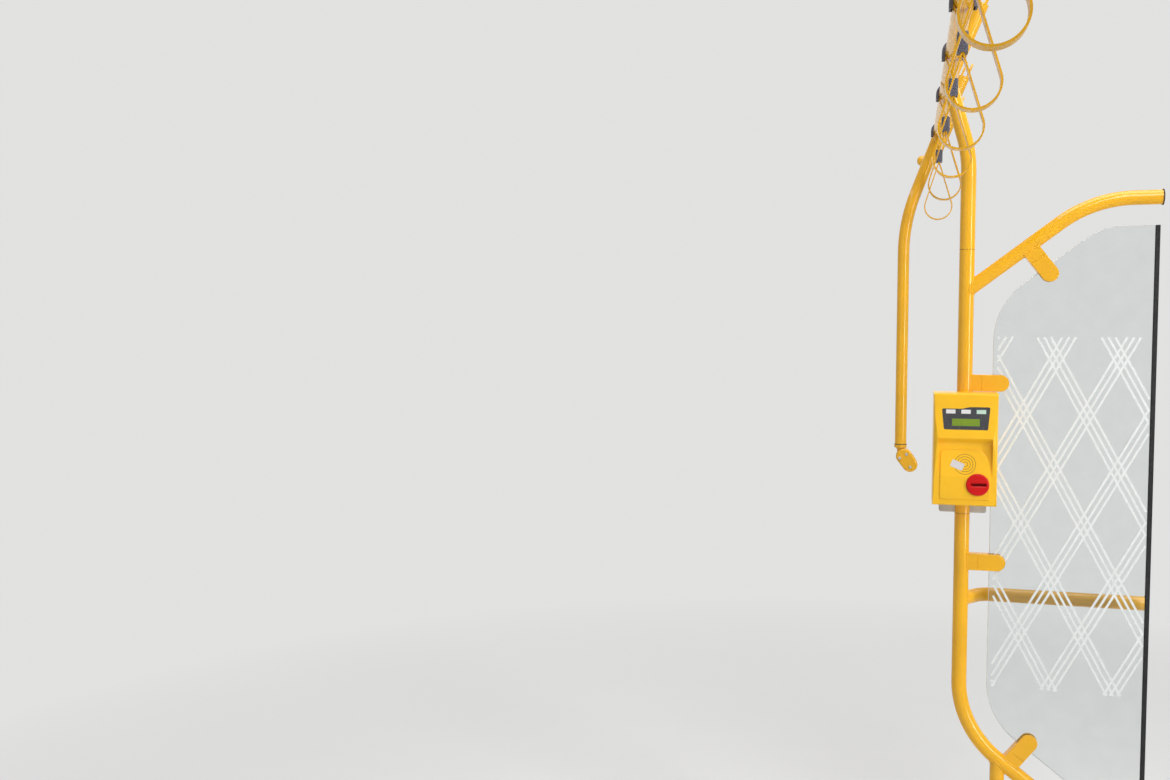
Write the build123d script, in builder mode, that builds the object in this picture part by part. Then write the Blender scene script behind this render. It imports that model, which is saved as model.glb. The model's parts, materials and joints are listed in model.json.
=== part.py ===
from build123d import *
import os
from math import asin, atan, cos, degrees, hypot, radians, sin, tan

# Grab-rail frame of a tram saloon: a bent stanchion with a glass draught screen, a ticket
# validator, an overhead rail with strap hangers and a second stanchion over the seats.
# Millimetres. X points to the side wall, Y forwards, Z up, origin under the floor flange.

os.makedirs("parts", exist_ok=True)

# Tubes
pole_d = 33.7  # stanchions and overhead rail
branch_d = 32.0  # tubes welded on to a pole
seam_chamfer = 0.6  # groove where two lengths of pole meet

# Screen frame, in the plane of the front stanchion. Heights are those of tube axes.
leg_offset = 88.0  # from the floor leg to the stanchion
wall_reach = 406.0  # from the stanchion to the side wall
low_corner_z = 556.0  # where the lower slope would meet the stanchion
low_slope = 37.5  # degrees below level
low_bend_r = 225.0
low_joint_z = 720.0  # where the stanchion's bent foot is welded on
low_slope_joint = 200.0  # along the lower slope, where the rail to the wall is welded on
low_rail_z = 354.0
low_rail_bend_r = 180.0
branch_z = 1574.0  # where the upper branch leaves the stanchion
branch_slope = 37.5  # degrees above level
top_rail_z = 1777.0
top_rail_bend_r = 250.0
mid_rail_z = 860.0
mid_rail_back = 66.0  # how far the mid rail lies behind the glass
mid_rail_angle = 52.0  # degrees from the screen's plane
mid_rail_bend_r = 60.0

# Wall ends
gasket_t = 2.0
gasket_lip = 1.6  # how far a gasket stands out from its tube
wall_bolt_r = 5.1  # tapping hole
wall_bolt_depth = 25.0
gasket_hole_r = 6.5

# Floor flange
flange_d = 104.0
flange_t = 8.0
flange_pcd = 78.0
flange_holes = 4
flange_hole_r = 4.5
socket_wall = 5.0
socket_h = 22.0
socket_play = 0.1
socket_foot_r = 4.0
flange_edge = 1.5  # bevel

# Overhead rail
rail_z = 2055.0
rail_inset = 47.0  # from the stanchion towards the aisle
rail_len = 2890.0  # between the axes of the two elbows
rail_behind = 1560.0  # from the front stanchion back to the near elbow
elbow_r = 38.0
elbow_stub = 18.0  # straight past the elbow, with the domed end
elbow_round = 15.0
rail_end_len = 110.0  # from an elbow's axis to the weld on the straight rail
lean_z = 1885.0  # where the front stanchion starts to lean to the rail
lean_bend_r = 300.0
upper_seam_z = 1669.0

# Ceiling arms
arm_near_in = 60.0  # first arm, in from the near elbow's axis
arm_far_in = 40.0  # last arm, in from the far elbow's axis
arm_second_y = -710.0
arm_out = 68.0  # from the rail to the tube's top, sideways
arm_rise = 165.0
ear_len = 42.0
ear_w = 28.0
ear_t = 6.0
ear_gap = 10.0
ear_root = 14.0  # how far the ears reach down into the tube's mouth
ear_bolt_r = 5.25
ear_bolt_from_tip = 14.0

# Seat stanchion
seat_pole_y = 790.0
seat_pole_inset = 141.5  # from the front stanchion towards the aisle
seat_pole_foot_z = 1138.0
seat_pole_lean = 20.6  # degrees from upright
seat_pole_bend_r = 500.0

# Seat handle clamp under the seat stanchion
seat_gasket_t = 1.6
collar_d = 36.6
collar_h = 9.0
collar_round = 1.2
neck_d = 25.0
neck_h = 4.0
pin_d = 20.0
pin_len = 16.0
cast_side = 18.0  # casting's middle, from the pole towards the wall
cast_drop = 37.0  # casting's middle, below the collar
cast_lobes = ((-8.0, 12.0, 23.0), (10.0, -13.0, 22.0))  # x, z, radius
cast_t = 40.0
cast_round = 6.0
handle_d = 25.0
handle_angle = 40.0  # degrees above level
handle_drop = 5.0
cast_screws = ((0.0, 18.0), (-20.0, 6.0), (11.0, -20.0))  # x, z
cast_screw_r = 2.2
cast_play = 0.1

# Glass and its clamps
glass_t = 8.0
glass_gap = 61.0  # from the tubes' axes to the glass edge
glass_wall_gap = 7.0
glass_side_r = 165.0  # both rounded corners at the stanchion
glass_corner_r = 120.0  # where the slopes meet the level edges
pad_t = 1.0
pad_web = 2.0
pad_inset = 2.5
cheek_t = 7.0
tab_w = 38.0
tab_reach = 96.0  # from the tube's axis to the tab's round end
tab_seam = 36.0  # from the tube's axis to the cover's edge
tab_round = 1.2
side_tab_zs = (1364.0, 950.0)
branch_tab_at = 164.0  # along the branch
low_tab_at = 136.0  # along the lower slope
seal_t = 2.0
seal_w = 7.0

# Ticket validator
case_w = 138.0
case_h = 253.0
case_gap = 1.0  # under the upper clamp
case_glass_gap = 2.0  # between the case and the pane behind it
case_top_d = 84.0  # depth in front of the pole's axis
case_lip_d = 92.0
case_foot_d = 84.0
case_corner_r = 13.0
case_edge_r = 4.0
lip_z = 151.0  # hood's lower edge, above the case's foot
scoop_w = 116.0
scoop_d = 15.0
scoop_run_z = 66.0  # where the scoop runs out
scoop_rise = 17.0  # height over which the scoop swings in from the lip
lip_over = 1.5
lip_rise = 6.0
lip_lean = 14.0
reader_w = 107.0
reader_low_z = 14.0
reader_top_z = 126.0
reader_t = 2.4
reader_corner_r = 34.0
reader_edge_r = 1.8
channel_play = 0.2
display_low_z = 172.0
display_low_w = 94.0
display_top_w = 103.0
display_left_h = 47.0
display_right_h = 51.0
display_step_w = 26.0
display_corner_r = 3.0
display_pocket = 2.5
display_t = 1.6
lamp_w = 20.0
lamp_h = 9.0
lamp_pitch = 32.5
lamp_up = 40.5
lcd_w = 59.0
lcd_h = 16.0
lcd_up = 16.5
window_t = 0.8
slot_x = 27.5
slot_up = 49.0
slot_d = 50.0
slot_shift = 2.0  # the mouth's middle, to the right of the bezel's
slot_proud = 7.0
slot_seat = 14.0
slot_w = 33.0
slot_h = 6.0
slot_depth = 17.0
slot_dome_r = 4.0
slot_flare = 2.0
bracket_w = 104.0
bracket_t = 31.0
bracket_below = 27.0
bracket_top_gap = 16.0
bracket_corner_r = 6.0
bracket_foot_r = 5.0
seam_below_case = 29.0

# Strap hangers
strap_ys = (-1420.0, -1040.0, -665.0, -275.0, 170.0, 715.0)
band_t = 3.0
band_w = 22.0
rail_play = 0.3
sleeve_top = 55.0  # below the rail's axis
sleeve_w = 18.0
sleeve_depth = 28.0
sleeve_h = 35.0
sleeve_corner_r = 4.0
sleeve_play = 0.1
hanger_drop = 255.0
loop_w = 78.0
neck_bend_r = 9.0
clip_t = 3.2
clip_flange = 2.6
clip_play = 0.1
clip_leg = 15.0  # legs of the clip, below the rail's middle

# Sizes that follow
pole_r = pole_d / 2
branch_r = branch_d / 2
pole_x = -leg_offset
wall_x = pole_x + wall_reach
tube_end_x = wall_x - gasket_t
rail_x = pole_x - rail_inset
rail_near = -rail_behind
rail_far = rail_near + rail_len
arm_ys = (
    rail_near + arm_near_in,
    arm_second_y,
    0.0,
    seat_pole_y,
    rail_far - arm_far_in,
)  # the third over the front stanchion, the fourth over the seat stanchion
elbow_out = elbow_r + elbow_stub
seat_pole_x = pole_x - seat_pole_inset
low_corner_x = (low_corner_z - low_rail_z) / tan(radians(low_slope))
top_corner_x = (top_rail_z - branch_z) / tan(radians(branch_slope))
slot_in_tab = glass_t + 2 * pad_t
tab_t = slot_in_tab + 2 * cheek_t
glass_edge_x = wall_reach - glass_wall_gap
case_back_d = glass_t / 2 + case_glass_gap
case_top_z = side_tab_zs[0] - tab_w / 2 - case_gap
case_z = case_top_z - case_h
lower_seam_z = case_z - seam_below_case

screen_plane = Plane(origin=(pole_x, 0, 0), x_dir=(1, 0, 0), z_dir=(0, -1, 0))


def save(part, name):
    part.label = name
    export_step(part, f"parts/{name}.step")


# Overhead rail: a straight tube between two end pieces
with BuildPart() as overhead_rail:
    with BuildSketch(Plane(origin=(rail_x, rail_near + rail_end_len, rail_z), z_dir=(0, 1, 0))):
        Circle(pole_r)
    extrude(amount=rail_len - 2 * rail_end_len)
save(overhead_rail.part, "overhead_rail")

# End pieces of the overhead rail, each with a short elbow and a domed end
rail_ends = []
for side, y, name in ((1, rail_near, "rail_end_near"), (-1, rail_far, "rail_end_far")):
    with BuildPart() as rail_end:
        with BuildLine(Plane.XY.offset(rail_z)) as path:
            FilletPolyline(
                (rail_x, y + side * rail_end_len),
                (rail_x, y),
                (rail_x - elbow_out, y),
                radius=elbow_r,
            )
        with BuildSketch(Plane(origin=path.line @ 0, z_dir=path.line % 0)):
            Circle(pole_r)
        sweep()
        fillet(rail_end.faces().sort_by(Axis.X)[0].edges(), elbow_round)
    save(rail_end.part, name)
    rail_ends.append(rail_end)

# Front stanchion, lower length: straight, down to the bent foot
with BuildPart() as stanchion_lower:
    with BuildSketch(Plane(origin=(pole_x, 0, low_joint_z))):
        Circle(pole_r)
    extrude(amount=lower_seam_z - low_joint_z)
    chamfer(stanchion_lower.faces().sort_by(Axis.Z)[-1].edges(), seam_chamfer)
save(stanchion_lower.part, "stanchion_lower")

# Bent foot of the front stanchion, down to the lower slope
low_joint = (
    low_slope_joint * cos(radians(low_slope)),
    low_corner_z - low_slope_joint * sin(radians(low_slope)),
)
with BuildPart() as screen_low_bend:
    with BuildLine(screen_plane) as path:
        FilletPolyline((0, low_joint_z), (0, low_corner_z), low_joint, radius=low_bend_r)
    with BuildSketch(Plane(origin=path.line @ 0, z_dir=path.line % 0)):
        Circle(pole_r)
    sweep()
save(screen_low_bend.part, "screen_low_bend")

# Lower rail of the screen, from the slope to the side wall
with BuildPart() as screen_low_rail:
    with BuildLine(screen_plane) as path:
        FilletPolyline(
            low_joint,
            (low_corner_x, low_rail_z),
            (tube_end_x - pole_x, low_rail_z),
            radius=low_rail_bend_r,
        )
    with BuildSketch(Plane(origin=path.line @ 0, z_dir=path.line % 0)):
        Circle(pole_r)
    sweep()
    with BuildSketch(Plane(origin=(tube_end_x, 0, low_rail_z), z_dir=(1, 0, 0))):
        Circle(wall_bolt_r)
    extrude(amount=-wall_bolt_depth, mode=Mode.SUBTRACT)
save(screen_low_rail.part, "screen_low_rail")

# Front stanchion, middle length, behind the validator
with BuildPart() as stanchion_middle:
    with BuildSketch(Plane(origin=(pole_x, 0, lower_seam_z))):
        Circle(pole_r)
    extrude(amount=upper_seam_z - lower_seam_z)
    chamfer(stanchion_middle.faces().filter_by(GeomType.PLANE).edges(), seam_chamfer)
save(stanchion_middle.part, "stanchion_middle")

# Front stanchion, upper length, leaning to the overhead rail
with BuildPart() as stanchion_upper:
    with BuildLine(screen_plane) as path:
        FilletPolyline(
            (0, upper_seam_z), (0, lean_z), (-rail_inset, rail_z), radius=lean_bend_r
        )
    with BuildSketch(Plane(origin=path.line @ 0, z_dir=path.line % 0)):
        Circle(pole_r)
    sweep()
    chamfer(stanchion_upper.faces().sort_by(Axis.Z)[0].edges(), seam_chamfer)
    add(overhead_rail.part, mode=Mode.SUBTRACT)
save(stanchion_upper.part, "stanchion_upper")

# Upper branch of the screen frame
with BuildPart() as screen_branch:
    with BuildLine(screen_plane) as path:
        FilletPolyline(
            (0, branch_z),
            (top_corner_x, top_rail_z),
            (tube_end_x - pole_x, top_rail_z),
            radius=top_rail_bend_r,
        )
    with BuildSketch(Plane(origin=path.line @ 0, z_dir=path.line % 0)):
        Circle(branch_r)
    sweep()
    add(stanchion_middle.part, mode=Mode.SUBTRACT)
    with BuildSketch(Plane(origin=(tube_end_x, 0, top_rail_z), z_dir=(1, 0, 0))):
        Circle(wall_bolt_r)
    extrude(amount=-wall_bolt_depth, mode=Mode.SUBTRACT)
save(screen_branch.part, "screen_branch")

# Mid rail, swung back to leave room for a hand behind the glass
with BuildPart() as screen_mid_rail:
    with BuildLine(Plane.XY.offset(mid_rail_z)) as path:
        FilletPolyline(
            (pole_x, 0),
            (pole_x + mid_rail_back / tan(radians(mid_rail_angle)), mid_rail_back),
            (tube_end_x, mid_rail_back),
            radius=mid_rail_bend_r,
        )
    with BuildSketch(Plane(origin=path.line @ 0, z_dir=path.line % 0)):
        Circle(branch_r)
    sweep()
    add(stanchion_lower.part, mode=Mode.SUBTRACT)
    mid_end = Plane(origin=(tube_end_x, mid_rail_back, mid_rail_z), z_dir=(1, 0, 0))
    with BuildSketch(mid_end):
        Circle(wall_bolt_r)
    extrude(amount=-wall_bolt_depth, mode=Mode.SUBTRACT)
save(screen_mid_rail.part, "screen_mid_rail")

# Floor leg, from the flange up to the lower slope
leg_top_z = low_corner_z - leg_offset * tan(radians(low_slope))
with BuildPart() as floor_leg:
    with BuildSketch(Plane.XY.offset(flange_t)):
        Circle(branch_r)
    extrude(amount=leg_top_z - flange_t)
    add(screen_low_bend.part, mode=Mode.SUBTRACT)
save(floor_leg.part, "floor_leg")

# Floor flange with a socket round the leg, turned
with BuildPart() as floor_flange:
    socket_r = branch_r + socket_play + socket_wall
    with BuildSketch(Plane.XZ):
        with BuildLine():
            Polyline(
                (0, 0),
                (flange_d / 2, 0),
                (flange_d / 2, flange_t - flange_edge),
                (flange_d / 2 - flange_edge, flange_t),
                (socket_r + socket_foot_r, flange_t),
            )
            RadiusArc(
                (socket_r + socket_foot_r, flange_t),
                (socket_r, flange_t + socket_foot_r),
                -socket_foot_r,
            )
            Polyline(
                (socket_r, flange_t + socket_foot_r),
                (socket_r, flange_t + socket_h - flange_edge),
                (socket_r - flange_edge, flange_t + socket_h),
                (branch_r + socket_play, flange_t + socket_h),
                (branch_r + socket_play, flange_t),
                (0, flange_t),
                (0, 0),
            )
        make_face()
    revolve(axis=Axis.Z)
    with BuildSketch():
        with PolarLocations(flange_pcd / 2, flange_holes, start_angle=45):
            Circle(flange_hole_r)
    extrude(amount=flange_t, mode=Mode.SUBTRACT)
save(floor_flange.part, "floor_flange")

# Gaskets between the tube ends and the side wall
with BuildPart() as wall_gaskets:
    ends = (
        (0.0, low_rail_z, pole_r),
        (0.0, top_rail_z, branch_r),
        (mid_rail_back, mid_rail_z, branch_r),
    )  # y, z, tube radius
    for y, z, tube_r in ends:
        with BuildSketch(Plane(origin=(tube_end_x, y, z), z_dir=(1, 0, 0))):
            Circle(tube_r + gasket_lip)
            Circle(gasket_hole_r, mode=Mode.SUBTRACT)
        extrude(amount=gasket_t)
save(wall_gaskets.part, "wall_gaskets")

# Seat stanchion, curving up to the rail
seat_corner_drop = (seat_pole_inset - rail_inset) / tan(radians(seat_pole_lean))
with BuildPart() as seat_stanchion:
    seat_plane = Plane(origin=(0, seat_pole_y, 0), x_dir=(1, 0, 0), z_dir=(0, -1, 0))
    with BuildLine(seat_plane) as path:
        FilletPolyline(
            (seat_pole_x, seat_pole_foot_z),
            (seat_pole_x, rail_z - seat_corner_drop),
            (rail_x, rail_z),
            radius=seat_pole_bend_r,
        )
    with BuildSketch(Plane(origin=path.line @ 0, z_dir=path.line % 0)):
        Circle(pole_r)
    sweep()
    add(overhead_rail.part, mode=Mode.SUBTRACT)
save(seat_stanchion.part, "seat_stanchion")

# Ceiling arms, each with a fork of two ears in its top
arm_angle = degrees(atan(arm_out / arm_rise))
arm_len = hypot(arm_out, arm_rise)
arm_dir = (sin(radians(arm_angle)), 0, cos(radians(arm_angle)))
arm_side = (cos(radians(arm_angle)), 0, -sin(radians(arm_angle)))
ear_bolt_at = arm_len + ear_len - ear_bolt_from_tip
arm_seats = (
    (rail_ends[0],),
    (overhead_rail,),
    (overhead_rail, stanchion_upper),
    (overhead_rail, seat_stanchion),
    (rail_ends[1],),
)  # the tubes that each arm is coped to
for number, (y, seats) in enumerate(zip(arm_ys, arm_seats), start=1):
    with BuildPart() as arm:
        base = Plane(origin=(rail_x, y, rail_z), x_dir=arm_side, z_dir=arm_dir)
        with BuildSketch(base):
            Circle(branch_r)
        extrude(amount=arm_len)
        chamfer(arm.faces().sort_by(Axis.Z)[-1].edges(), seam_chamfer)
        ear_plane = Plane(origin=base.origin, x_dir=arm_dir, z_dir=arm_side)
        with BuildSketch(ear_plane.offset(-ear_gap / 2 - ear_t)) as ears:
            with Locations((arm_len - ear_root, 0)):
                Rectangle(
                    ear_root + ear_len - ear_w / 2, ear_w, align=(Align.MIN, Align.CENTER)
                )
            with Locations((arm_len + ear_len - ear_w / 2, 0)):
                Circle(ear_w / 2)
        extrude(amount=2 * ear_t + ear_gap)
        with BuildSketch(ear_plane.offset(-ear_gap / 2)):
            with Locations((arm_len, 0)):
                Rectangle(ear_len + ear_w, ear_w * 2, align=(Align.MIN, Align.CENTER))
        extrude(amount=ear_gap, mode=Mode.SUBTRACT)
        with BuildSketch(ear_plane.offset(-ear_gap / 2 - ear_t)):
            with Locations((ear_bolt_at, 0)):
                Circle(ear_bolt_r)
        extrude(amount=2 * ear_t + ear_gap, mode=Mode.SUBTRACT)
        for seat in seats:
            add(seat.part, mode=Mode.SUBTRACT)
    save(arm.part, f"ceiling_arm_{number}")

# Seat handle clamp: gasket, turned socket and a casting in two halves
collar_top_z = seat_pole_foot_z - seat_gasket_t
collar_foot_z = collar_top_z - collar_h
with BuildPart() as seat_clamp_gasket:
    with BuildSketch(Plane(origin=(seat_pole_x, seat_pole_y, collar_top_z))):
        Circle(pole_r - seat_gasket_t / 2)
    extrude(amount=seat_gasket_t)
save(seat_clamp_gasket.part, "seat_clamp_gasket")

with BuildPart() as seat_clamp_socket:
    with BuildSketch(Plane(origin=(seat_pole_x, seat_pole_y, collar_foot_z))):
        Circle(collar_d / 2)
    extrude(amount=collar_h)
    fillet(seat_clamp_socket.edges(), collar_round)
    with BuildSketch(Plane(origin=(seat_pole_x, seat_pole_y, collar_foot_z))):
        Circle(neck_d / 2)
    extrude(amount=-neck_h)
    with BuildSketch(Plane(origin=(seat_pole_x, seat_pole_y, collar_foot_z - neck_h))):
        Circle(pin_d / 2)
    extrude(amount=-pin_len)
save(seat_clamp_socket.part, "seat_clamp_socket")

cast_x = seat_pole_x + cast_side
cast_z = collar_foot_z - cast_drop
for side, name in ((-1, "seat_clamp_near"), (1, "seat_clamp_far")):
    with BuildPart() as half:
        split_plane = Plane(
            origin=(cast_x, seat_pole_y, cast_z), x_dir=(-side, 0, 0), z_dir=(0, side, 0)
        )
        with BuildSketch(split_plane):
            for x, z, lobe_r in cast_lobes:
                with Locations((-side * x, z)):
                    Circle(lobe_r)
            make_hull()
        extrude(amount=cast_t / 2)
        fillet(half.faces().sort_by(Axis.Y)[-1 if side > 0 else 0].edges(), cast_round)
        with BuildSketch(Plane(origin=(seat_pole_x, seat_pole_y, collar_foot_z))):
            Circle(neck_d / 2 + cast_play)
        extrude(amount=-neck_h, mode=Mode.SUBTRACT)
        with BuildSketch(Plane(origin=(seat_pole_x, seat_pole_y, collar_foot_z))):
            Circle(pin_d / 2 + cast_play)
        extrude(amount=-neck_h - pin_len - cast_play, mode=Mode.SUBTRACT)
        handle_dir = (cos(radians(handle_angle)), 0, sin(radians(handle_angle)))
        with BuildSketch(
            Plane(origin=(cast_x, seat_pole_y, cast_z - handle_drop), z_dir=handle_dir)
        ):
            Circle(handle_d / 2)
        extrude(amount=cast_t * 2, both=True, mode=Mode.SUBTRACT)
        with BuildSketch(split_plane):
            for x, z in cast_screws:
                with Locations((-side * x, z)):
                    Circle(cast_screw_r)
        extrude(amount=cast_t / 2, mode=Mode.SUBTRACT)
    save(half.part, name)

# Glass pane: its edges run parallel to the tubes round it
glass_side_low = (
    glass_gap,
    low_corner_z - glass_gap * tan(radians(low_slope)) + glass_gap / cos(radians(low_slope)),
)
glass_side_top = (
    glass_gap,
    branch_z + glass_gap * tan(radians(branch_slope)) - glass_gap / cos(radians(branch_slope)),
)
glass_low_z = low_rail_z + glass_gap
glass_top_z = top_rail_z - glass_gap
glass_low = (
    glass_gap + (glass_side_low[1] - glass_low_z) / tan(radians(low_slope)),
    glass_low_z,
)
glass_top = (
    glass_gap + (glass_top_z - glass_side_top[1]) / tan(radians(branch_slope)),
    glass_top_z,
)
with BuildPart() as glass_pane:
    with BuildSketch(screen_plane):
        with BuildLine():
            FilletPolyline(
                (glass_edge_x, glass_top_z),
                glass_top,
                glass_side_top,
                glass_side_low,
                glass_low,
                (glass_edge_x, glass_low_z),
                radius=(glass_corner_r, glass_side_r, glass_side_r, glass_corner_r),
            )
            Line((glass_edge_x, glass_low_z), (glass_edge_x, glass_top_z))
        make_face()
    extrude(amount=glass_t / 2, both=True)
save(glass_pane.part, "glass_pane")

# Black seal on the glass edge at the wall
with BuildPart() as glass_edge_seal:
    with BuildSketch(screen_plane):
        with Locations((glass_edge_x + seal_t, (glass_low_z + glass_top_z) / 2)):
            Rectangle(
                seal_w + seal_t, glass_top_z - glass_low_z, align=(Align.MAX, Align.CENTER)
            )
    extrude(amount=glass_t / 2 + seal_t, both=True)
    fillet(glass_edge_seal.edges().filter_by(Axis.Z), seal_t / 2)
    add(glass_pane.part, mode=Mode.SUBTRACT)
save(glass_edge_seal.part, "glass_edge_seal")

# Glass clamps: body welded to the tube, with a bolted cover
slope_low = radians(low_slope)
slope_top = radians(branch_slope)
clamps = (
    (0.0, side_tab_zs[0], 0.0, stanchion_middle),
    (0.0, side_tab_zs[1], 0.0, stanchion_lower),
    (
        branch_tab_at * cos(slope_top),
        branch_z + branch_tab_at * sin(slope_top),
        branch_slope - 90,
        screen_branch,
    ),
    (
        low_tab_at * cos(slope_low),
        low_corner_z - low_tab_at * sin(slope_low),
        90 - low_slope,
        screen_low_bend,
    ),
)  # u, z, direction in degrees, tube that carries it
round_at = tab_reach - tab_w / 2
spacer_end = glass_gap - pad_web
for number, (u, z, angle, tube) in enumerate(clamps, start=1):
    along = (cos(radians(angle)), 0, sin(radians(angle)))
    tab_plane = Plane(origin=(pole_x + u, 0, z), x_dir=along, z_dir=(0, -1, 0))
    with BuildPart() as clamp_body:
        with BuildSketch(tab_plane.offset(-tab_t / 2)):
            Rectangle(round_at, tab_w, align=(Align.MIN, Align.CENTER))
            with Locations((round_at, 0)):
                Circle(tab_w / 2)
        extrude(amount=cheek_t)
        fillet(clamp_body.faces().sort_by(Axis.Y)[-1].edges(), tab_round)
        with BuildSketch(tab_plane.offset(-tab_t / 2 + cheek_t)):
            Rectangle(spacer_end, tab_w, align=(Align.MIN, Align.CENTER))
        extrude(amount=slot_in_tab)
        with BuildSketch(tab_plane.offset(tab_t / 2 - cheek_t)):
            Rectangle(tab_seam, tab_w, align=(Align.MIN, Align.CENTER))
        extrude(amount=cheek_t)
        add(tube.part, mode=Mode.SUBTRACT)
    save(clamp_body.part, f"glass_clamp_body_{number}")
    with BuildPart() as clamp_cover:
        with BuildSketch(tab_plane.offset(tab_t / 2 - cheek_t)):
            with Locations((tab_seam, 0)):
                Rectangle(round_at - tab_seam, tab_w, align=(Align.MIN, Align.CENTER))
            with Locations((round_at, 0)):
                Circle(tab_w / 2)
        extrude(amount=cheek_t)
        fillet(clamp_cover.faces().sort_by(Axis.Y)[0].edges(), tab_round)
    save(clamp_cover.part, f"glass_clamp_cover_{number}")

# Rubber pads round the glass edge in the four clamps
with BuildPart() as glass_clamp_pads:
    for u, z, angle, _ in clamps:
        along = (cos(radians(angle)), 0, sin(radians(angle)))
        tab_plane = Plane(origin=(pole_x + u, 0, z), x_dir=along, z_dir=(0, -1, 0))
        with BuildSketch(tab_plane.offset(-slot_in_tab / 2)):
            with Locations((spacer_end, 0)):
                Rectangle(
                    round_at - spacer_end, tab_w - 2 * pad_inset, align=(Align.MIN, Align.CENTER)
                )
            with Locations((round_at, 0)):
                Circle(tab_w / 2 - pad_inset)
        extrude(amount=slot_in_tab)
    add(glass_pane.part, mode=Mode.SUBTRACT)
save(glass_clamp_pads.part, "glass_clamp_pads")

# Ticket validator case: drawn from the side, cut to its plan, scooped under the hood
case_side = Plane(origin=(pole_x, 0, case_z), x_dir=(0, -1, 0), z_dir=(-1, 0, 0))
case_front = Plane(origin=(pole_x, 0, case_z), x_dir=(1, 0, 0), z_dir=(0, -1, 0))
face_tilt = atan((case_lip_d - case_top_d) / (case_h - lip_z))
display_plane = Plane(
    origin=(pole_x, -case_lip_d + (display_low_z - lip_z) * tan(face_tilt), case_z + display_low_z),
    x_dir=(1, 0, 0),
    z_dir=(0, -cos(face_tilt), sin(face_tilt)),
)
foot_tilt = atan((case_lip_d - case_foot_d) / lip_z)
scoop_floor_d = case_lip_d - scoop_d
run_out_d = case_foot_d + scoop_run_z * tan(foot_tilt)
bezel_plane = Plane(
    origin=(pole_x + slot_x, -case_foot_d - slot_up * tan(foot_tilt) + slot_seat, case_z + slot_up),
    x_dir=(1, 0, 0),
    z_dir=(0, -1, 0),
)

with BuildPart() as reader_pad:
    with BuildSketch(case_front.offset(case_back_d)):
        with Locations((0, reader_low_z)):
            Rectangle(reader_w, reader_top_z - reader_low_z, align=(Align.CENTER, Align.MIN))
        fillet(vertices().group_by(Axis.Y)[-1].sort_by(Axis.X)[-1], reader_corner_r)
        fillet(vertices().group_by(Axis.Y)[-1].sort_by(Axis.X)[0], case_corner_r)
        fillet(vertices().group_by(Axis.Y)[0], case_edge_r)
    extrude(amount=case_lip_d - case_back_d)
    with BuildSketch(case_side):
        with BuildLine():
            Polyline(
                (scoop_floor_d + reader_t, lip_z),
                (scoop_floor_d + reader_t, lip_z - scoop_rise),
                (run_out_d + reader_t, scoop_run_z),
                (case_foot_d + reader_t, 0),
                (case_lip_d * 2, 0),
                (case_lip_d * 2, lip_z),
                close=True,
            )
        make_face()
    extrude(amount=case_w, both=True, mode=Mode.SUBTRACT)
    slopes = reader_pad.faces().sort_by(Axis.Y)[:2]
    rim = slopes[0].edges() + slopes[1].edges()
    fillet(rim.filter_by(lambda edge: len(rim.filter_by(edge.is_same)) == 1), reader_edge_r)

with BuildPart() as validator_case:
    with BuildSketch(case_side):
        with BuildLine():
            Polyline(
                (case_back_d, 0),
                (case_foot_d, 0),
                (case_lip_d, lip_z),
                (case_top_d, case_h),
                (case_back_d, case_h),
                close=True,
            )
        make_face()
        corners = vertices().sort_by(Axis.X)
        fillet(corners[2:4], case_edge_r)
    extrude(amount=case_w / 2, both=True)
    with BuildSketch(Plane(origin=(pole_x, 0, case_z))):
        Rectangle(case_w, case_lip_d, align=(Align.CENTER, Align.MAX))
        fillet(vertices().group_by(Axis.Y)[0], case_corner_r)
    extrude(amount=case_h, mode=Mode.INTERSECT)
    with BuildSketch(case_side):
        with BuildLine():
            Polyline(
                (scoop_floor_d, lip_z - scoop_rise),
                (2 * run_out_d - scoop_floor_d, 2 * scoop_run_z - lip_z + scoop_rise),
                (case_lip_d * 2, 2 * scoop_run_z - lip_z + scoop_rise),
                (case_lip_d * 2, lip_z + lip_rise),
                (case_lip_d + lip_over, lip_z + lip_rise),
            )
            Spline(
                (case_lip_d + lip_over, lip_z + lip_rise),
                (scoop_floor_d, lip_z - scoop_rise),
                tangents=((-sin(radians(lip_lean)), -cos(radians(lip_lean))), (0, -1)),
            )
        make_face()
    extrude(amount=scoop_w / 2, both=True, mode=Mode.SUBTRACT)
    add(reader_pad.part)
    with BuildSketch(Plane(origin=(pole_x, 0, case_z))):
        Circle(pole_r + channel_play)
    extrude(amount=case_h, mode=Mode.SUBTRACT)
    with BuildSketch(display_plane) as display_outline:
        with BuildLine():
            Polyline(
                (-display_step_w / 2, display_left_h),
                (-display_top_w / 2, display_left_h),
                (-display_low_w / 2, 0),
                (display_low_w / 2, 0),
                (display_top_w / 2, display_right_h),
                (display_step_w / 2, display_right_h),
            )
            Spline(
                (display_step_w / 2, display_right_h),
                (-display_step_w / 2, display_left_h),
                tangents=((-1, 0), (-1, 0)),
            )
        make_face()
        corners = vertices().sort_by(Axis.X)
        fillet(corners[:2] + corners[-2:], display_corner_r)
    extrude(amount=-display_pocket, mode=Mode.SUBTRACT)
    with BuildSketch(bezel_plane):
        Circle(slot_d / 2)
    extrude(amount=slot_seat + slot_proud, mode=Mode.SUBTRACT)
save(validator_case.part, "validator_case")

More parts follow.
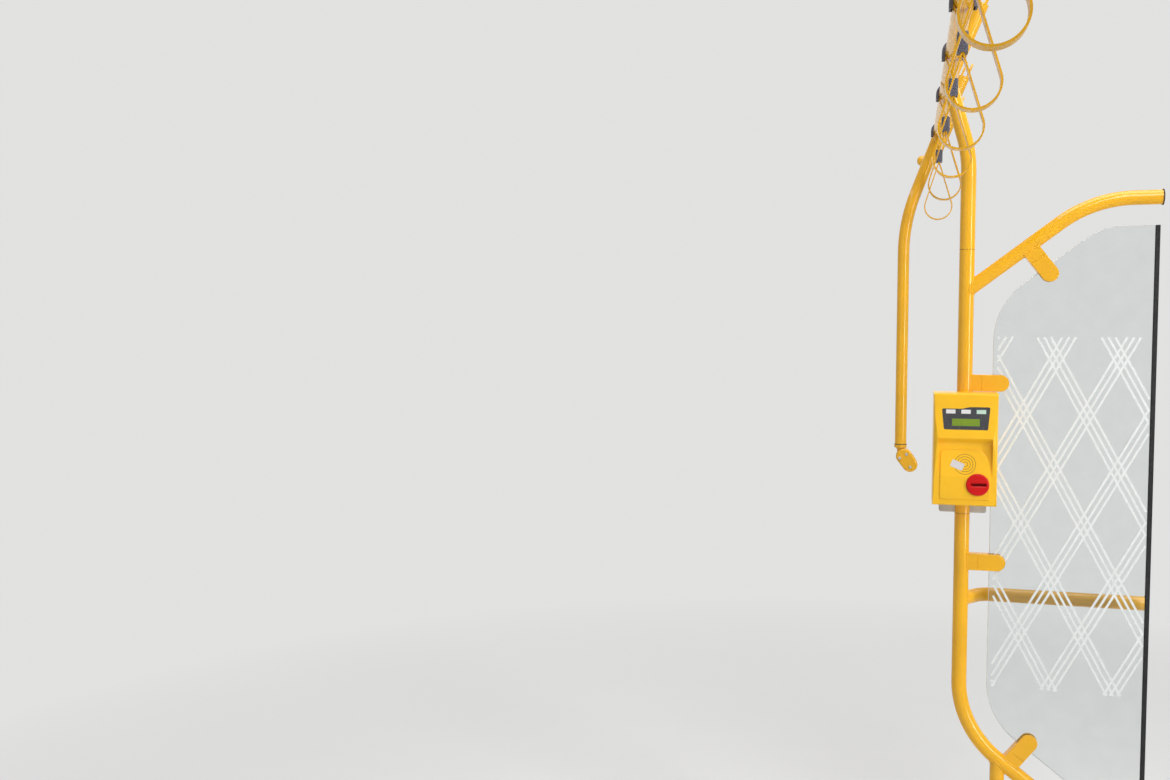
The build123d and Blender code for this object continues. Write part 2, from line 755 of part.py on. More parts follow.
# Display panel and its windows
panel_plane = display_plane.offset(-display_pocket)
windows = (
    (-lamp_pitch, lamp_up, lamp_w, lamp_h),
    (0.0, lamp_up, lamp_w, lamp_h),
    (lamp_pitch, lamp_up, lamp_w, lamp_h),
    (0.0, lcd_up, lcd_w, lcd_h),
)  # x, height of the middle, width, height
with BuildPart() as validator_panel:
    with BuildSketch(panel_plane):
        add(display_outline.sketch_local)
    extrude(amount=display_t)
    with BuildSketch(panel_plane.offset(display_t)):
        for x, up, width, height in windows:
            with Locations((x, up)):
                Rectangle(width, height)
    extrude(amount=-window_t, mode=Mode.SUBTRACT)
save(validator_panel.part, "validator_panel")

window_plane = panel_plane.offset(display_t - window_t)
with BuildPart() as validator_lamps:
    with BuildSketch(window_plane):
        for x, up, width, height in windows[:3]:
            with Locations((x, up)):
                Rectangle(width, height)
    extrude(amount=window_t)
save(validator_lamps.part, "validator_lamps")

with BuildPart() as validator_display:
    with BuildSketch(window_plane):
        with Locations((0, lcd_up)):
            Rectangle(lcd_w, lcd_h)
    extrude(amount=window_t)
save(validator_display.part, "validator_display")

# Ticket slot in a domed bezel
with BuildPart() as validator_slot:
    with BuildSketch(bezel_plane):
        Circle(slot_d / 2)
    extrude(amount=slot_seat + slot_proud)
    fillet(validator_slot.faces().sort_by(Axis.Y)[0].edges(), slot_dome_r)
    slot_face = Plane(
        origin=bezel_plane.offset(slot_seat + slot_proud).origin + Vector(slot_shift, 0, 0),
        x_dir=(1, 0, 0),
        z_dir=(0, -1, 0),
    )
    with BuildSketch(slot_face):
        SlotOverall(slot_w, slot_h)
    extrude(amount=-slot_depth, mode=Mode.SUBTRACT)
    with BuildSketch(slot_face):
        SlotOverall(slot_w + 2 * slot_flare, slot_h + 2 * slot_flare)
    with BuildSketch(slot_face.offset(-slot_flare)):
        SlotOverall(slot_w, slot_h)
    loft(mode=Mode.SUBTRACT)
save(validator_slot.part, "validator_slot")

# Bracket that clamps the case on the pole from behind
with BuildPart() as validator_bracket:
    bracket_h = case_h + bracket_below - bracket_top_gap
    bracket_plane = Plane(origin=(pole_x, -case_back_d, case_z - bracket_below))
    with BuildSketch(bracket_plane):
        Rectangle(bracket_w, bracket_t, align=(Align.CENTER, Align.MIN))
        fillet(vertices().group_by(Axis.Y)[-1], bracket_corner_r)
        with Locations((0, case_back_d)):
            Circle(pole_r + channel_play, mode=Mode.SUBTRACT)
    extrude(amount=bracket_h)
    foot_edges = validator_bracket.edges().filter_by(Axis.Y).group_by(Axis.Z)[0]
    fillet(foot_edges, bracket_foot_r)
save(validator_bracket.part, "validator_bracket")

# Strap hangers: a band over the rail and through a sleeve, ending in a hand loop
band_mid_r = pole_r + rail_play + band_t / 2
neck_x = band_t / 2
neck_top = -sleeve_top + neck_bend_r / 3
neck_foot = -sleeve_top - sleeve_h - neck_bend_r / 3
loop_mid_r = (loop_w - band_t) / 2
loop_z = loop_w / 2 - hanger_drop
upper_tilt = asin(band_mid_r / hypot(neck_x, neck_top)) - atan(neck_x / -neck_top)
lower_tilt = asin(loop_mid_r / hypot(neck_x, neck_foot - loop_z)) - atan(
    neck_x / (neck_foot - loop_z)
)
upper_touch = (band_mid_r * cos(upper_tilt), -band_mid_r * sin(upper_tilt))
lower_touch = (loop_mid_r * cos(lower_tilt), loop_z + loop_mid_r * sin(lower_tilt))
clip_in_r = pole_r + rail_play + band_t + clip_play
clip_out_r = clip_in_r + clip_t
channel_half = band_w / 2 + clip_play
clip_arches = (
    (pole_r + rail_play, clip_out_r, clip_leg, channel_half + clip_flange, Mode.ADD),
    (pole_r, clip_in_r, 2 * clip_leg, channel_half, Mode.SUBTRACT),
)  # inner radius, outer radius, leg, half width, mode
for number, y in enumerate(strap_ys, start=1):
    hang = Plane(origin=(rail_x, y, rail_z), x_dir=(1, 0, 0), z_dir=(0, -1, 0))
    with BuildPart() as strap_band:
        with BuildSketch(hang):
            with BuildLine():
                CenterArc((0, 0), band_mid_r, 90, -90 - degrees(upper_tilt))
                FilletPolyline(
                    upper_touch,
                    (neck_x, neck_top),
                    (neck_x, neck_foot),
                    lower_touch,
                    radius=neck_bend_r,
                )
                CenterArc(
                    (0, loop_z), loop_mid_r, degrees(lower_tilt), -90 - degrees(lower_tilt)
                )
            trace(line_width=band_t)
            mirror(about=Plane.YZ)
        extrude(amount=band_w / 2, both=True)
    save(strap_band.part, f"strap_{number}_band")
    with BuildPart() as strap_sleeve:
        with BuildSketch(Plane(origin=(rail_x, y, rail_z - sleeve_top))):
            RectangleRounded(sleeve_w, sleeve_depth, sleeve_corner_r)
            Rectangle(
                2 * (band_t + sleeve_play), band_w + 2 * sleeve_play, mode=Mode.SUBTRACT
            )
        extrude(amount=-sleeve_h)
    save(strap_sleeve.part, f"strap_{number}_sleeve")
    with BuildPart() as strap_clip:
        for inner, outer, leg, half, mode in clip_arches:
            arch_r = (inner + outer) / 2
            with BuildSketch(hang):
                with BuildLine():
                    Line((arch_r, -leg), (arch_r, 0))
                    CenterArc((0, 0), arch_r, 0, 180)
                    Line((-arch_r, 0), (-arch_r, -leg))
                trace(line_width=outer - inner)
            extrude(amount=half, both=True, mode=mode)
    save(strap_clip.part, f"strap_{number}_clip")
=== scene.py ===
import json
from math import atan2, cos, hypot, pi, radians, sin, sqrt, tau

import bmesh
import bpy
from bpy.props import FloatProperty, FloatVectorProperty, IntProperty, PointerProperty
from mathutils import Matrix, Vector
from mathutils.bvhtree import BVHTree

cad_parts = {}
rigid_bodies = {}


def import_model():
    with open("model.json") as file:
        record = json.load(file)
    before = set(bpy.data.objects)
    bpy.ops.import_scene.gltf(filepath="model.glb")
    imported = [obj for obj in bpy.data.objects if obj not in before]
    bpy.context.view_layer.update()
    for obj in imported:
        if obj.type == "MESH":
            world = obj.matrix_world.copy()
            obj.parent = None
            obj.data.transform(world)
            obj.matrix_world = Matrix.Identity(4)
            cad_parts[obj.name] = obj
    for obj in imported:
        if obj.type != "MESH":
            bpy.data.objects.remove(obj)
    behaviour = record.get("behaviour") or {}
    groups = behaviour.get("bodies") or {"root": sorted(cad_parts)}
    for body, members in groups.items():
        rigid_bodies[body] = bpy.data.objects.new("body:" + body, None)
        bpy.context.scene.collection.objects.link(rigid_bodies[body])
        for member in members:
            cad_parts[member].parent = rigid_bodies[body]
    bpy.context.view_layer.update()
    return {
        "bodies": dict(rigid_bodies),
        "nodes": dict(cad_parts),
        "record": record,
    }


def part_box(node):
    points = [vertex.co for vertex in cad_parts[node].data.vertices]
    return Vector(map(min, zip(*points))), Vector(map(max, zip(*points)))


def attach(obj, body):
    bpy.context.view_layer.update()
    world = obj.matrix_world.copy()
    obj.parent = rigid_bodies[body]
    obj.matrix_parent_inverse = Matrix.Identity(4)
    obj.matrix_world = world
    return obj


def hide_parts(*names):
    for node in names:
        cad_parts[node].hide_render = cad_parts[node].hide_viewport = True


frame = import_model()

bl_info = {
    "name": "Tram grab rail frame",
    "version": (1, 0, 0),
    "blender": (4, 5, 0),
    "location": "3D View > Sidebar > Grab Rail",
    "description": "Finishes, welds, screws, etched glass and printed marks of a grab-rail frame",
    "category": "Object",
}

# Places and sizes read from the frame, in metres


def middle(node):
    """Middle of a node's box."""
    low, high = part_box(node)
    return (low + high) / 2


def size(node):
    """Width, depth and height of a node's box."""
    low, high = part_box(node)
    return high - low


POLE = middle("stanchion_middle")
POLE_R = size("stanchion_middle").x / 2
BRANCH_R = size("screen_mid_rail").z / 2
RAIL = middle("overhead_rail")
LEG_R = size("floor_leg").x / 2
STRAPS = sorted(body for body in frame["bodies"] if body.startswith("strap_"))
ARMS = sorted(node for node in frame["nodes"] if node.startswith("ceiling_arm_"))
TABS = sorted(node for node in frame["nodes"] if node.startswith("glass_clamp_body_"))

# Fixed values, in metres where they are lengths

SIDE, AHEAD, UP = Vector((1, 0, 0)), Vector((0, 1, 0)), Vector((0, 0, 1))
MILLI = 0.001

EVEN = (1.0, 1.0, 1.0)
MOST = (0.3, 0.7)  # where most values of a noise lie
MIX_FACTOR, MIX_FIRST, MIX_SECOND, MIX_RESULT = 0, 6, 7, 2  # a mix node's sockets for colours
GLASS_CLEAN = (0.86, 0.885, 0.88, 1.0)
GLASS_DUSTY = (0.81, 0.84, 0.835, 1.0)
GREEN_FROM = 0.015  # the green lamp window, right of the pole's middle
DISPLAY_COLUMNS, DISPLAY_ROWS = 16, 2
DISPLAY_GAP = 0.00045

LOOP_POINTS = 96
TAB_STEPS = 12
SAMPLES_PER_RIPPLE = 4
RIPPLE_SWELL = 0.10
SEAM_RIPPLE = 4  # ripple pitch of the seams, in radii of their bead
# Section of a screw's head: shares of its radius and of its height
HEAD_SECTION = ((1.0, -0.2), (1.0, 0.25), (0.93, 0.62), (0.76, 0.90), (0.58, 1.0))
HEAD_SIDES = 24
CASTING_SCREWS = ((-0.0005, 0.018), (-0.0205, 0.006), (0.0105, -0.020))  # x, z from its middle
PANE_SIDE, PANE_FLAT = 0.9, 0.999  # how far the normal of the pane's faces lies along Y
SPARE_GROUPS = 4  # of lattice lines, past the pane's corners
LINE_REACH = 10.0
LINE_SHORTEST = 0.004
PARALLEL = 1e-9
PAD_PROBE = 0.01  # half the height over which the reader pad's slope is measured

FLOOR_R = 40.0
LAMPS = (  # name, share of the power, place, aim, way of the length, width, length
    ("key", 1.0, (2.5, -1.7, 1.6), (-0.1, 0.0, 1.4), UP, 0.3, 2.4),
    ("ceiling", 1.0, (-0.2, 0.0, 7.0), (-0.2, 0.0, 0.0), AHEAD, 5.0, 5.0),
    ("top", 1.0, (1.0, -2.6, 3.3), (-0.1, 0.0, 1.1), AHEAD, 1.6, 1.6),
    ("right_strip", 1.0, (1.9, 0.6, 3.1), (-0.1, 0.2, 1.9), AHEAD, 0.16, 4.2),
    ("left_strip", 0.5, (-2.3, -0.2, 2.9), (-0.1, 0.0, 1.9), AHEAD, 0.10, 4.2),
    ("fill", 1.0, (-2.6, -3.0, 1.8), (-0.1, 0.0, 1.2), UP, 2.4, 2.4),
    ("back", 1.0, (-1.4, 3.6, 2.4), (-0.1, 0.0, 1.4), UP, 4.0, 4.0),
)
CAMERA_PLACE = (-0.2238, -2.7585, 1.50)
CAMERA_TURN = (radians(86.66), 0.0, radians(15.66))
CAMERA_LENS, CAMERA_SENSOR = 35.0, 36.0  # in millimetres
CAMERA_REACH = 200.0

# Settings


def tint(name, description, default):
    """A colour as it looks on screen."""
    return FloatVectorProperty(
        name=name, description=description, default=default,
        subtype="COLOR_GAMMA", size=3, min=0, max=1,
    )


def length(name, description, default):
    """A length, from a tenth to ten times its default."""
    return FloatProperty(
        name=name, description=description, default=default,
        unit="LENGTH", min=default / 10, max=default * 10,
    )


def angle(name, description, default):
    """An angle."""
    return FloatProperty(
        name=name, description=description, default=default, subtype="ANGLE", min=-pi, max=pi
    )


def power(name, description, default):
    """A lamp's power."""
    return FloatProperty(
        name=name, description=description, default=default, unit="POWER", min=0.0, max=5000.0
    )


class FinishSettings(bpy.types.PropertyGroup):
    """Colours of the finishes, as they look on a plain render."""

    rail: tint("Rail yellow", "Powder coat of tubes, clamps and flange", (0.940, 0.695, 0.080))
    case: tint("Case yellow", "Moulded case of the ticket validator", (0.970, 0.745, 0.150))
    band: tint("Band yellow", "Bands of the strap hangers", (0.860, 0.640, 0.110))
    hanger: tint("Hanger grey", "Sleeves and clips of the strap hangers", (0.340, 0.335, 0.380))
    bracket: tint("Bracket grey", "Bracket behind the ticket validator", (0.740, 0.730, 0.710))
    panel: tint("Panel grey", "Display panel", (0.200, 0.200, 0.215))
    lamp: tint("Lamp white", "Lamp windows of the display panel", (0.880, 0.870, 0.870))
    lamp_green: tint("Lamp green", "Right lamp window", (0.740, 0.850, 0.775))
    screen: tint("Display green", "Lit character display", (0.465, 0.580, 0.040))
    slot: tint("Slot red", "Bezel of the ticket slot", (0.800, 0.030, 0.030))
    rubber: tint("Rubber black", "Seals, pads and gaskets", (0.090, 0.090, 0.092))
    screw: tint("Screw steel", "Bright zinc of the screws", (0.800, 0.800, 0.790))
    # Painted highlight: this colour also makes the pane's edge faces pale, standing in for the
    # edge's highlight.
    etch: tint("Etched white", "Frosted lines and ground edge of the glass", (0.895, 0.905, 0.900))
    print_ink: tint("Printed rings", "Ink of the rings on the reader pad", (0.520, 0.360, 0.080))
    card: tint("Printed card", "Plain white card printed on the reader pad", (0.820, 0.800, 0.805))


class WeldSettings(bpy.types.PropertyGroup):
    """Painted weld beads round the coped joints."""

    bead: length("Bead", "Radius of a weld bead's section", 0.0017)
    ripple: length("Ripple pitch", "From one ripple of the bead to the next", 0.0028)
    branch_slope: angle("Screen slopes", "Slope of the branch and of the bent foot", radians(37.5))
    mid_rail_swing: angle(
        "Mid rail swing", "Angle between the mid rail's root and the screen", radians(52.0)
    )
    pole_lean: angle(
        "Stanchion lean", "Lean of the front stanchion's top, from upright", atan2(0.047, 0.170)
    )
    seat_pole_lean: angle(
        "Seat stanchion lean", "Lean of the seat stanchion's top, from upright", radians(20.6)
    )
    arm_lean: angle("Arm lean", "Lean of the ceiling arms, from upright", atan2(0.068, 0.165))


class ScrewSettings(bpy.types.PropertyGroup):
    """Button-head screws."""

    head_r: length("Head radius", "Radius of a button head", 0.0046)
    head_h: length("Head height", "Height of a button head", 0.0026)
    socket_r: length("Socket radius", "Corner radius of the hexagon socket", 0.0019)
    socket_depth: length("Socket depth", "Depth of the hexagon socket", 0.0016)
    tab_reach: length("Tab reach", "From a tube's axis to the round end of a glass clamp", 0.096)
    tab_first: length("First tab screw", "From the tube's axis, short of the glass", 0.047)
    tab_second: length("Second tab screw", "From the tube's axis, through the glass", 0.077)
    bracket_edge: length("Bracket edge", "From the bracket's side to its screws", 0.013)


class SeamSettings(bpy.types.PropertyGroup):
    """Painted shade in the stanchions' seams, laid as dark rings, and the rubber lip of the seat
    clamp.
    """

    # Painted shade: the dark ring sunk in each stanchion seam stands in for the groove's shade.
    seam: length("Seam", "Radius of the filler in a stanchion's seam", 0.00045)
    seam_inset: length("Seam inset", "Middle of the filler, in from the stanchion's face", 0.0005)
    lip: length("Lip", "Radius of the rubber lip over the seat clamp", 0.0017)


class EtchSettings(bpy.types.PropertyGroup):
    """Etched lattice on the front of the pane, and the pane's pale edge faces, a painted highlight
    of its edge.
    """

    line: length("Line width", "Width of one etched line", 0.0050)
    proud: length("Line height", "How far a line stands on the glass", 0.00012)
    spacing: length("Line spacing", "Between the lines of a group of three", 0.0125)
    pitch: length("Group pitch", "From one group of lines to the next", 0.118)
    steep: angle("Line angle", "Angle of the lines from level", radians(62.0))
    top: length("Lattice top", "Height of the lattice's upper edge", 1.470)
    foot: length("Lattice foot", "Height of the lattice's lower edge", 0.660)
    margin: length("Edge margin", "Bare glass along the pane's edge", 0.010)
    # Painted highlight: the pale frosted bevel stands in for the highlight along the pane's edge.
    bevel: length("Ground edge", "Width of the bevel ground along the pane's edges", 0.0009)


class RibSettings(bpy.types.PropertyGroup):
    """Fine ribs round the sleeves of the strap hangers."""

    count: IntProperty(
        name="Ribs", description="Number of ribs on a sleeve", default=11, min=1, max=40
    )
    rib: length("Rib", "Radius of a rib's section", 0.00055)
    corner: length("Sleeve corner", "Corner radius of the sleeve", 0.004)


class PrintSettings(bpy.types.PropertyGroup):
    """Marks printed on the reader pad."""

    ring_count: IntProperty(name="Rings", description="Number of rings", default=4, min=1, max=12)
    ring_first: length("First ring", "Radius of the smallest ring", 0.0054)
    ring_step: length("Ring step", "From one ring to the next", 0.0057)
    ring_line: length("Ring line", "Width of a ring's line", 0.0011)
    rings_up: length("Rings' height", "Middle of the rings above the foot of the case", 0.094)
    card_w: length("Card width", "Width of the printed card", 0.028)
    card_h: length("Card height", "Height of the printed card", 0.0165)
    card_tilt: angle("Card tilt", "How far the card's right end hangs down", radians(-23.0))
    card_left: length("Card place", "Middle of the card, left of the rings' middle", 0.0165)
    card_low: length("Card drop", "Middle of the card, below the rings' middle", 0.002)
    card_corner: length("Card corner", "Corner radius of the card", 0.0012)
    film: length("Film", "Thickness of the printed film", 0.00012)


class StageSettings(bpy.types.PropertyGroup):
    """Floor, lights and background."""

    floor: tint("Floor", "Colour of the floor round the foot", (0.925, 0.925, 0.920))
    background: tint(
        "Background", "Colour of the background and of the far floor", (0.885, 0.885, 0.880)
    )
    fade_near: length("Fade from", "Where the floor starts to fade into the background", 1.2)
    fade_far: length("Fade to", "Where the floor has become the background", 3.6)
    key: power("Key light", "Power of the tall lamp on the wall side", 14.0)
    key_spread: angle("Key spread", "How wide the tall lamp throws its light", radians(100.0))
    ceiling: power("Ceiling light", "Power of the wide lamp high above", 290.0)
    top: power("Top light", "Power of the large lamp above and before the screen", 52.0)
    fill: power("Fill light", "Power of the large lamp on the aisle side", 5.0)
    back: power("Back light", "Power of the large lamp behind", 13.0)
    strip: power("Strip lights", "Power of the long lamps above, along the rail", 8.0)
    ambient: FloatProperty(
        name="Ambient", description="Strength of the even light from all round",
        subtype="FACTOR", default=0.17, min=0.0, max=1.0,
    )


GROUPS = (
    ("rail_finish", FinishSettings),
    ("rail_weld", WeldSettings),
    ("rail_screw", ScrewSettings),
    ("rail_seam", SeamSettings),
    ("rail_etch", EtchSettings),
    ("rail_rib", RibSettings),
    ("rail_print", PrintSettings),
    ("rail_stage", StageSettings),
)


def settings(name):
    """The scene's settings of one group."""
    return getattr(bpy.context.scene, name)


# Colour and node helpers


def linear(colour):
    """Scene-linear RGBA of a colour as it is seen on screen."""
    parts = [c / 12.92 if c <= 0.04045 else ((c + 0.055) / 1.055) ** 2.4 for c in colour]
    return (*parts, 1.0)


def shade(colour, share):
    """A colour made darker or lighter, as RGBA."""
    return (*(min(1.0, c * share) for c in colour[:3]), 1.0)


class Graph:
    """The nodes of one tree, with short ways to add and wire them."""

    def __init__(self, tree):
        self.nodes = tree.nodes
        self.links = tree.links

    def wire(self, value, target):
        """Links a socket to an input, or sets the input to a plain value."""
        if isinstance(value, bpy.types.NodeSocket):
            self.links.new(value, target)
        else:
            target.default_value = value

    def node(self, kind, *wires, **values):
        """A new node with its settings; wires are (input name or number, socket or value)."""
        made = self.nodes.new(kind)
        for name, value in values.items():
            setattr(made, name, value)
        for key, value in wires:
            self.wire(value, made.inputs[key])
        return made

    def out(self, kind, *wires, **values):
        """The first output of a new node."""
        return self.node(kind, *wires, **values).outputs[0]

    def math(self, operation, *values):
        """The result of an operation on sockets and numbers."""
        return self.out("ShaderNodeMath", *enumerate(values), operation=operation)

    def seen_directly(self):
        """A socket that is 1 for what the camera sees, also in gloss and through glass."""
        path = self.node("ShaderNodeLightPath").outputs
        mirrored = self.math("MAXIMUM", path["Is Camera Ray"], path["Is Glossy Ray"])
        return self.math("MAXIMUM", mirrored, path["Is Transmission Ray"])


class Finish(Graph):
    """A material with one Principled shader, built up by small steps."""

    def __init__(self, name):
        last = bpy.data.materials.get(f"{name}_finish")
        if last:
            bpy.data.materials.remove(last)
        self.material = bpy.data.materials.new(f"{name}_finish")
        self.material.use_nodes = True
        super().__init__(self.material.node_tree)
        self.shader = self.nodes["Principled BSDF"]
        self.place = self.node("ShaderNodeTexCoord").outputs["Object"]

    def put(self, **sockets):
        """Sends sockets or plain values to the shader."""
        for name, value in sockets.items():
            self.wire(value, self.shader.inputs[name.replace("_", " ")])

    def noise(self, scale, detail, stretch=EVEN):
        """Noise in object space, finer along an axis with a larger stretch."""
        place = self.out("ShaderNodeMapping", ("Vector", self.place), ("Scale", stretch))
        return self.node(
            "ShaderNodeTexNoise", ("Vector", place), ("Scale", scale), ("Detail", detail)
        ).outputs["Fac"]

    def span(self, factor, given, wanted):
        """A factor brought from one span to another."""
        return self.out(
            "ShaderNodeMapRange", ("Value", factor), ("From Min", given[0]),
            ("From Max", given[1]), ("To Min", wanted[0]), ("To Max", wanted[1]),
        )

    def mix(self, factor, first, second):
        """Two colours mixed by a factor; each is a socket or an RGBA."""
        return self.node(
            "ShaderNodeMix", (MIX_FACTOR, factor), (MIX_FIRST, first), (MIX_SECOND, second),
            data_type="RGBA",
        ).outputs[MIX_RESULT]

    def paint(self, colour):
        """Takes a socket or an RGBA as the base colour."""
        self.base = colour
        self.put(Base_Color=colour)

    def clouds(self, first, second, scale, detail, spread=MOST):
        """Soft clouds of two colours as the base colour."""
        made = self.node("ShaderNodeValToRGB", ("Fac", self.noise(scale, detail)))
        for element, where, colour in zip(made.color_ramp.elements, spread, (first, second)):
            element.position = where
            element.color = colour
        self.paint(made.outputs["Color"])

    def flecks(self, colour, scale, spread, amount, detail=4.0):
        """Small flecks of a colour over the base colour."""
        where = self.span(self.noise(scale, detail), spread, (0.0, amount))
        self.paint(self.mix(where, self.base, colour))

    def wear(self, scale, detail, spread, stretch=EVEN):
        """A roughness that wanders over a span."""
        self.put(Roughness=self.span(self.noise(scale, detail, stretch), MOST, spread))

    def grain(self, scale, detail, strength, depth, stretch=EVEN):
        """Fine surface relief."""
        height = self.noise(scale, detail, stretch)
        self.put(Normal=self.out(
            "ShaderNodeBump", ("Height", height), ("Strength", strength), ("Distance", depth)
        ))


# Finishes


def powder_coat(finish, colour):
    """Gloss powder coat on steel: faint clouding, orange peel and hand wear."""
    finish.put(Coat_Weight=0.3, Coat_IOR=2.0, Coat_Roughness=0.06, Specular_IOR_Level=0.06)
    finish.clouds(shade(colour, 0.93), shade(colour, 1.04), scale=9.0, detail=3.0)
    finish.flecks(shade(colour, 0.72), scale=160.0, spread=(0.66, 0.74), amount=0.15)
    finish.wear(scale=34.0, detail=5.0, spread=(0.19, 0.33), stretch=(1.0, 1.0, 0.35))
    finish.grain(scale=420.0, detail=1.0, strength=0.02, depth=0.0004)


def case_moulding(finish, colour):
    """Satin moulded plastic with a fine spark-eroded grain."""
    finish.put(Coat_Weight=0.12, Coat_Roughness=0.12, Specular_IOR_Level=0.25)
    finish.clouds(shade(colour, 0.95), shade(colour, 1.03), scale=14.0, detail=3.0)
    finish.flecks(shade(colour, 0.70), scale=240.0, spread=(0.67, 0.75), amount=0.25)
    finish.wear(scale=60.0, detail=4.0, spread=(0.27, 0.42))
    finish.grain(scale=2600.0, detail=1.0, strength=0.10, depth=0.0002)


def band_plastic(finish, colour):
    """Springy plastic band: long faint drag marks and a bright sheen."""
    finish.put(Coat_Weight=0.2, Coat_IOR=1.9, Coat_Roughness=0.08, Specular_IOR_Level=0.04)
    finish.clouds(shade(colour, 0.90), shade(colour, 1.06), scale=26.0, detail=3.0)
    finish.flecks(shade(colour, 0.60), scale=300.0, spread=(0.64, 0.74), amount=0.3)
    finish.wear(scale=120.0, detail=4.0, spread=(0.2, 0.38), stretch=(1.0, 0.1, 1.0))
    finish.grain(scale=900.0, detail=2.0, strength=0.03, depth=0.0003, stretch=(1.0, 0.15, 1.0))


def matt_moulding(finish, colour):
    """Matt plastic or painted metal with an open grain."""
    finish.put(Specular_IOR_Level=0.45)
    finish.clouds(
        shade(colour, 0.84), shade(colour, 1.12), scale=40.0, detail=4.0, spread=(0.30, 0.72)
    )
    finish.flecks(shade(colour, 1.5), scale=420.0, spread=(0.62, 0.72), amount=0.35)
    finish.wear(scale=90.0, detail=3.0, spread=(0.42, 0.62))
    finish.grain(scale=1900.0, detail=2.0, strength=0.16, depth=0.0002)


def panel_gloss(finish, colour):
    """Gloss display panel with fine wipe marks."""
    finish.put(Coat_Weight=0.5, Coat_Roughness=0.05)
    finish.clouds(shade(colour, 0.85), shade(colour, 1.15), scale=55.0, detail=4.0)
    finish.wear(scale=200.0, detail=5.0, spread=(0.1, 0.3), stretch=(1.0, 1.0, 0.2))
    finish.grain(scale=700.0, detail=1.0, strength=0.03, depth=0.0002)


def lamp_window(finish, colour, green):
    """Frosted lamp windows; the right one is pale green."""
    finish.put(Roughness=0.38, Coat_Weight=0.25, Coat_Roughness=0.1)
    across = finish.out("ShaderNodeSeparateXYZ", ("Vector", finish.place))
    edge = POLE.x + GREEN_FROM
    right = finish.span(across, (edge, edge + MILLI), (0.0, 1.0))
    finish.paint(finish.mix(right, colour, green))
    finish.flecks(shade(colour, 0.75), scale=180.0, spread=(0.35, 0.75), amount=0.14, detail=3.0)
    finish.grain(scale=1200.0, detail=1.0, strength=0.06, depth=0.0002)


def character_display(finish, colour):
    """Character display: rows of cells that show faintly behind the window."""
    finish.put(Coat_Weight=0.4, Coat_Roughness=0.05)
    low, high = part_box("validator_display")
    corner = finish.out("ShaderNodeMapping", ("Vector", finish.place), ("Location", -low))
    turn = finish.node("ShaderNodeSeparateXYZ", ("Vector", corner)).outputs
    flat = finish.out("ShaderNodeCombineXYZ", ("X", turn["X"]), ("Y", turn["Z"]))
    finish.paint(finish.out(
        "ShaderNodeTexBrick",
        ("Vector", flat),
        ("Scale", 1.0),
        ("Brick Width", (high.x - low.x) / DISPLAY_COLUMNS),
        ("Row Height", (high.z - low.z) / DISPLAY_ROWS),
        ("Mortar Size", DISPLAY_GAP),
        ("Mortar Smooth", 0.4),
        ("Color1", shade(colour, 0.80)),
        ("Color2", shade(colour, 0.94)),
        ("Mortar", shade(colour, 1.12)),
        offset=0.0, squash=1.0,
    ))
    finish.wear(scale=260.0, detail=3.0, spread=(0.15, 0.3))


def rubber(finish, colour):
    """Dull black rubber with a dusty bloom."""
    finish.put(Specular_IOR_Level=0.35)
    finish.clouds(colour, shade(colour, 2.2), scale=70.0, detail=4.0, spread=(0.35, 0.75))
    finish.wear(scale=150.0, detail=3.0, spread=(0.6, 0.82))
    finish.grain(scale=1400.0, detail=2.0, strength=0.15, depth=0.0002)


def screw_zinc(finish, colour):
    """Bright zinc with turning marks."""
    finish.put(Metallic=1.0)
    finish.clouds(shade(colour, 0.72), colour, scale=500.0, detail=4.0)
    finish.wear(scale=1500.0, detail=2.0, spread=(0.18, 0.4))
    finish.grain(scale=3000.0, detail=1.0, strength=0.08, depth=0.0001)


def clear_glass(finish):
    """Clear toughened glass with a breath of dust."""
    finish.put(Roughness=0.0, Transmission_Weight=1.0, IOR=1.5)
    finish.clouds(GLASS_CLEAN, GLASS_DUSTY, scale=24.0, detail=5.0, spread=(0.3, 0.8))


def etched_glass(finish, colour):
    """Frosted glass of the etched lines, and of the pane's edge faces as a painted highlight of
    the edge.
    """
    finish.clouds(shade(colour, 0.86), shade(colour, 1.04), scale=900.0, detail=2.0)
    finish.wear(scale=400.0, detail=2.0, spread=(0.5, 0.75))
    finish.grain(scale=2400.0, detail=2.0, strength=0.3, depth=0.0001)


def printed_ink(finish, colour):
    """Screen-printed ink, slightly worn."""
    finish.paint(colour)
    finish.flecks(shade(colour, 1.25), scale=700.0, spread=(0.58, 0.7), amount=0.5)
    finish.wear(scale=900.0, detail=2.0, spread=(0.32, 0.5))


def build_finishes():
    """All finishes, by name."""
    chosen = settings("rail_finish")
    tone = {name: linear(getattr(chosen, name)) for name in FinishSettings.__annotations__}
    plans = (
        ("rail_yellow", powder_coat, "rail"),
        ("case_yellow", case_moulding, "case"),
        ("band_yellow", band_plastic, "band"),
        ("hanger_grey", matt_moulding, "hanger"),
        ("bracket_grey", matt_moulding, "bracket"),
        ("panel_dark", panel_gloss, "panel"),
        ("lamp_white", lamp_window, "lamp", "lamp_green"),
        ("display_green", character_display, "screen"),
        ("slot_red", case_moulding, "slot"),
        ("rubber", rubber, "rubber"),
        ("screw_zinc", screw_zinc, "screw"),
        ("glass", clear_glass),
        ("etched_glass", etched_glass, "etch"),
        ("printed_ink", printed_ink, "print_ink"),
        ("printed_card", printed_ink, "card"),
    )
    made = {}
    for name, coat, *keys in plans:
        finish = Finish(name)
        coat(finish, *(tone[key] for key in keys))
        made[name] = finish.material
    return made


def finish_of(name):
    """A finish that the finish operator has made."""
    return bpy.data.materials[f"{name}_finish"]


# Mesh helpers


def link(name, data):
    """A new object in the scene; a piece has its place in its mesh."""
    made = bpy.data.objects.new(name, data)
    bpy.context.scene.collection.objects.link(made)
    return made


def from_bmesh(name, form, smooth=True):
    """An object made from a finished bmesh."""
    mesh = bpy.data.meshes.new(name)
    form.to_mesh(mesh)
    form.free()
    for face in mesh.polygons:
        face.use_smooth = smooth
    return link(name, mesh)


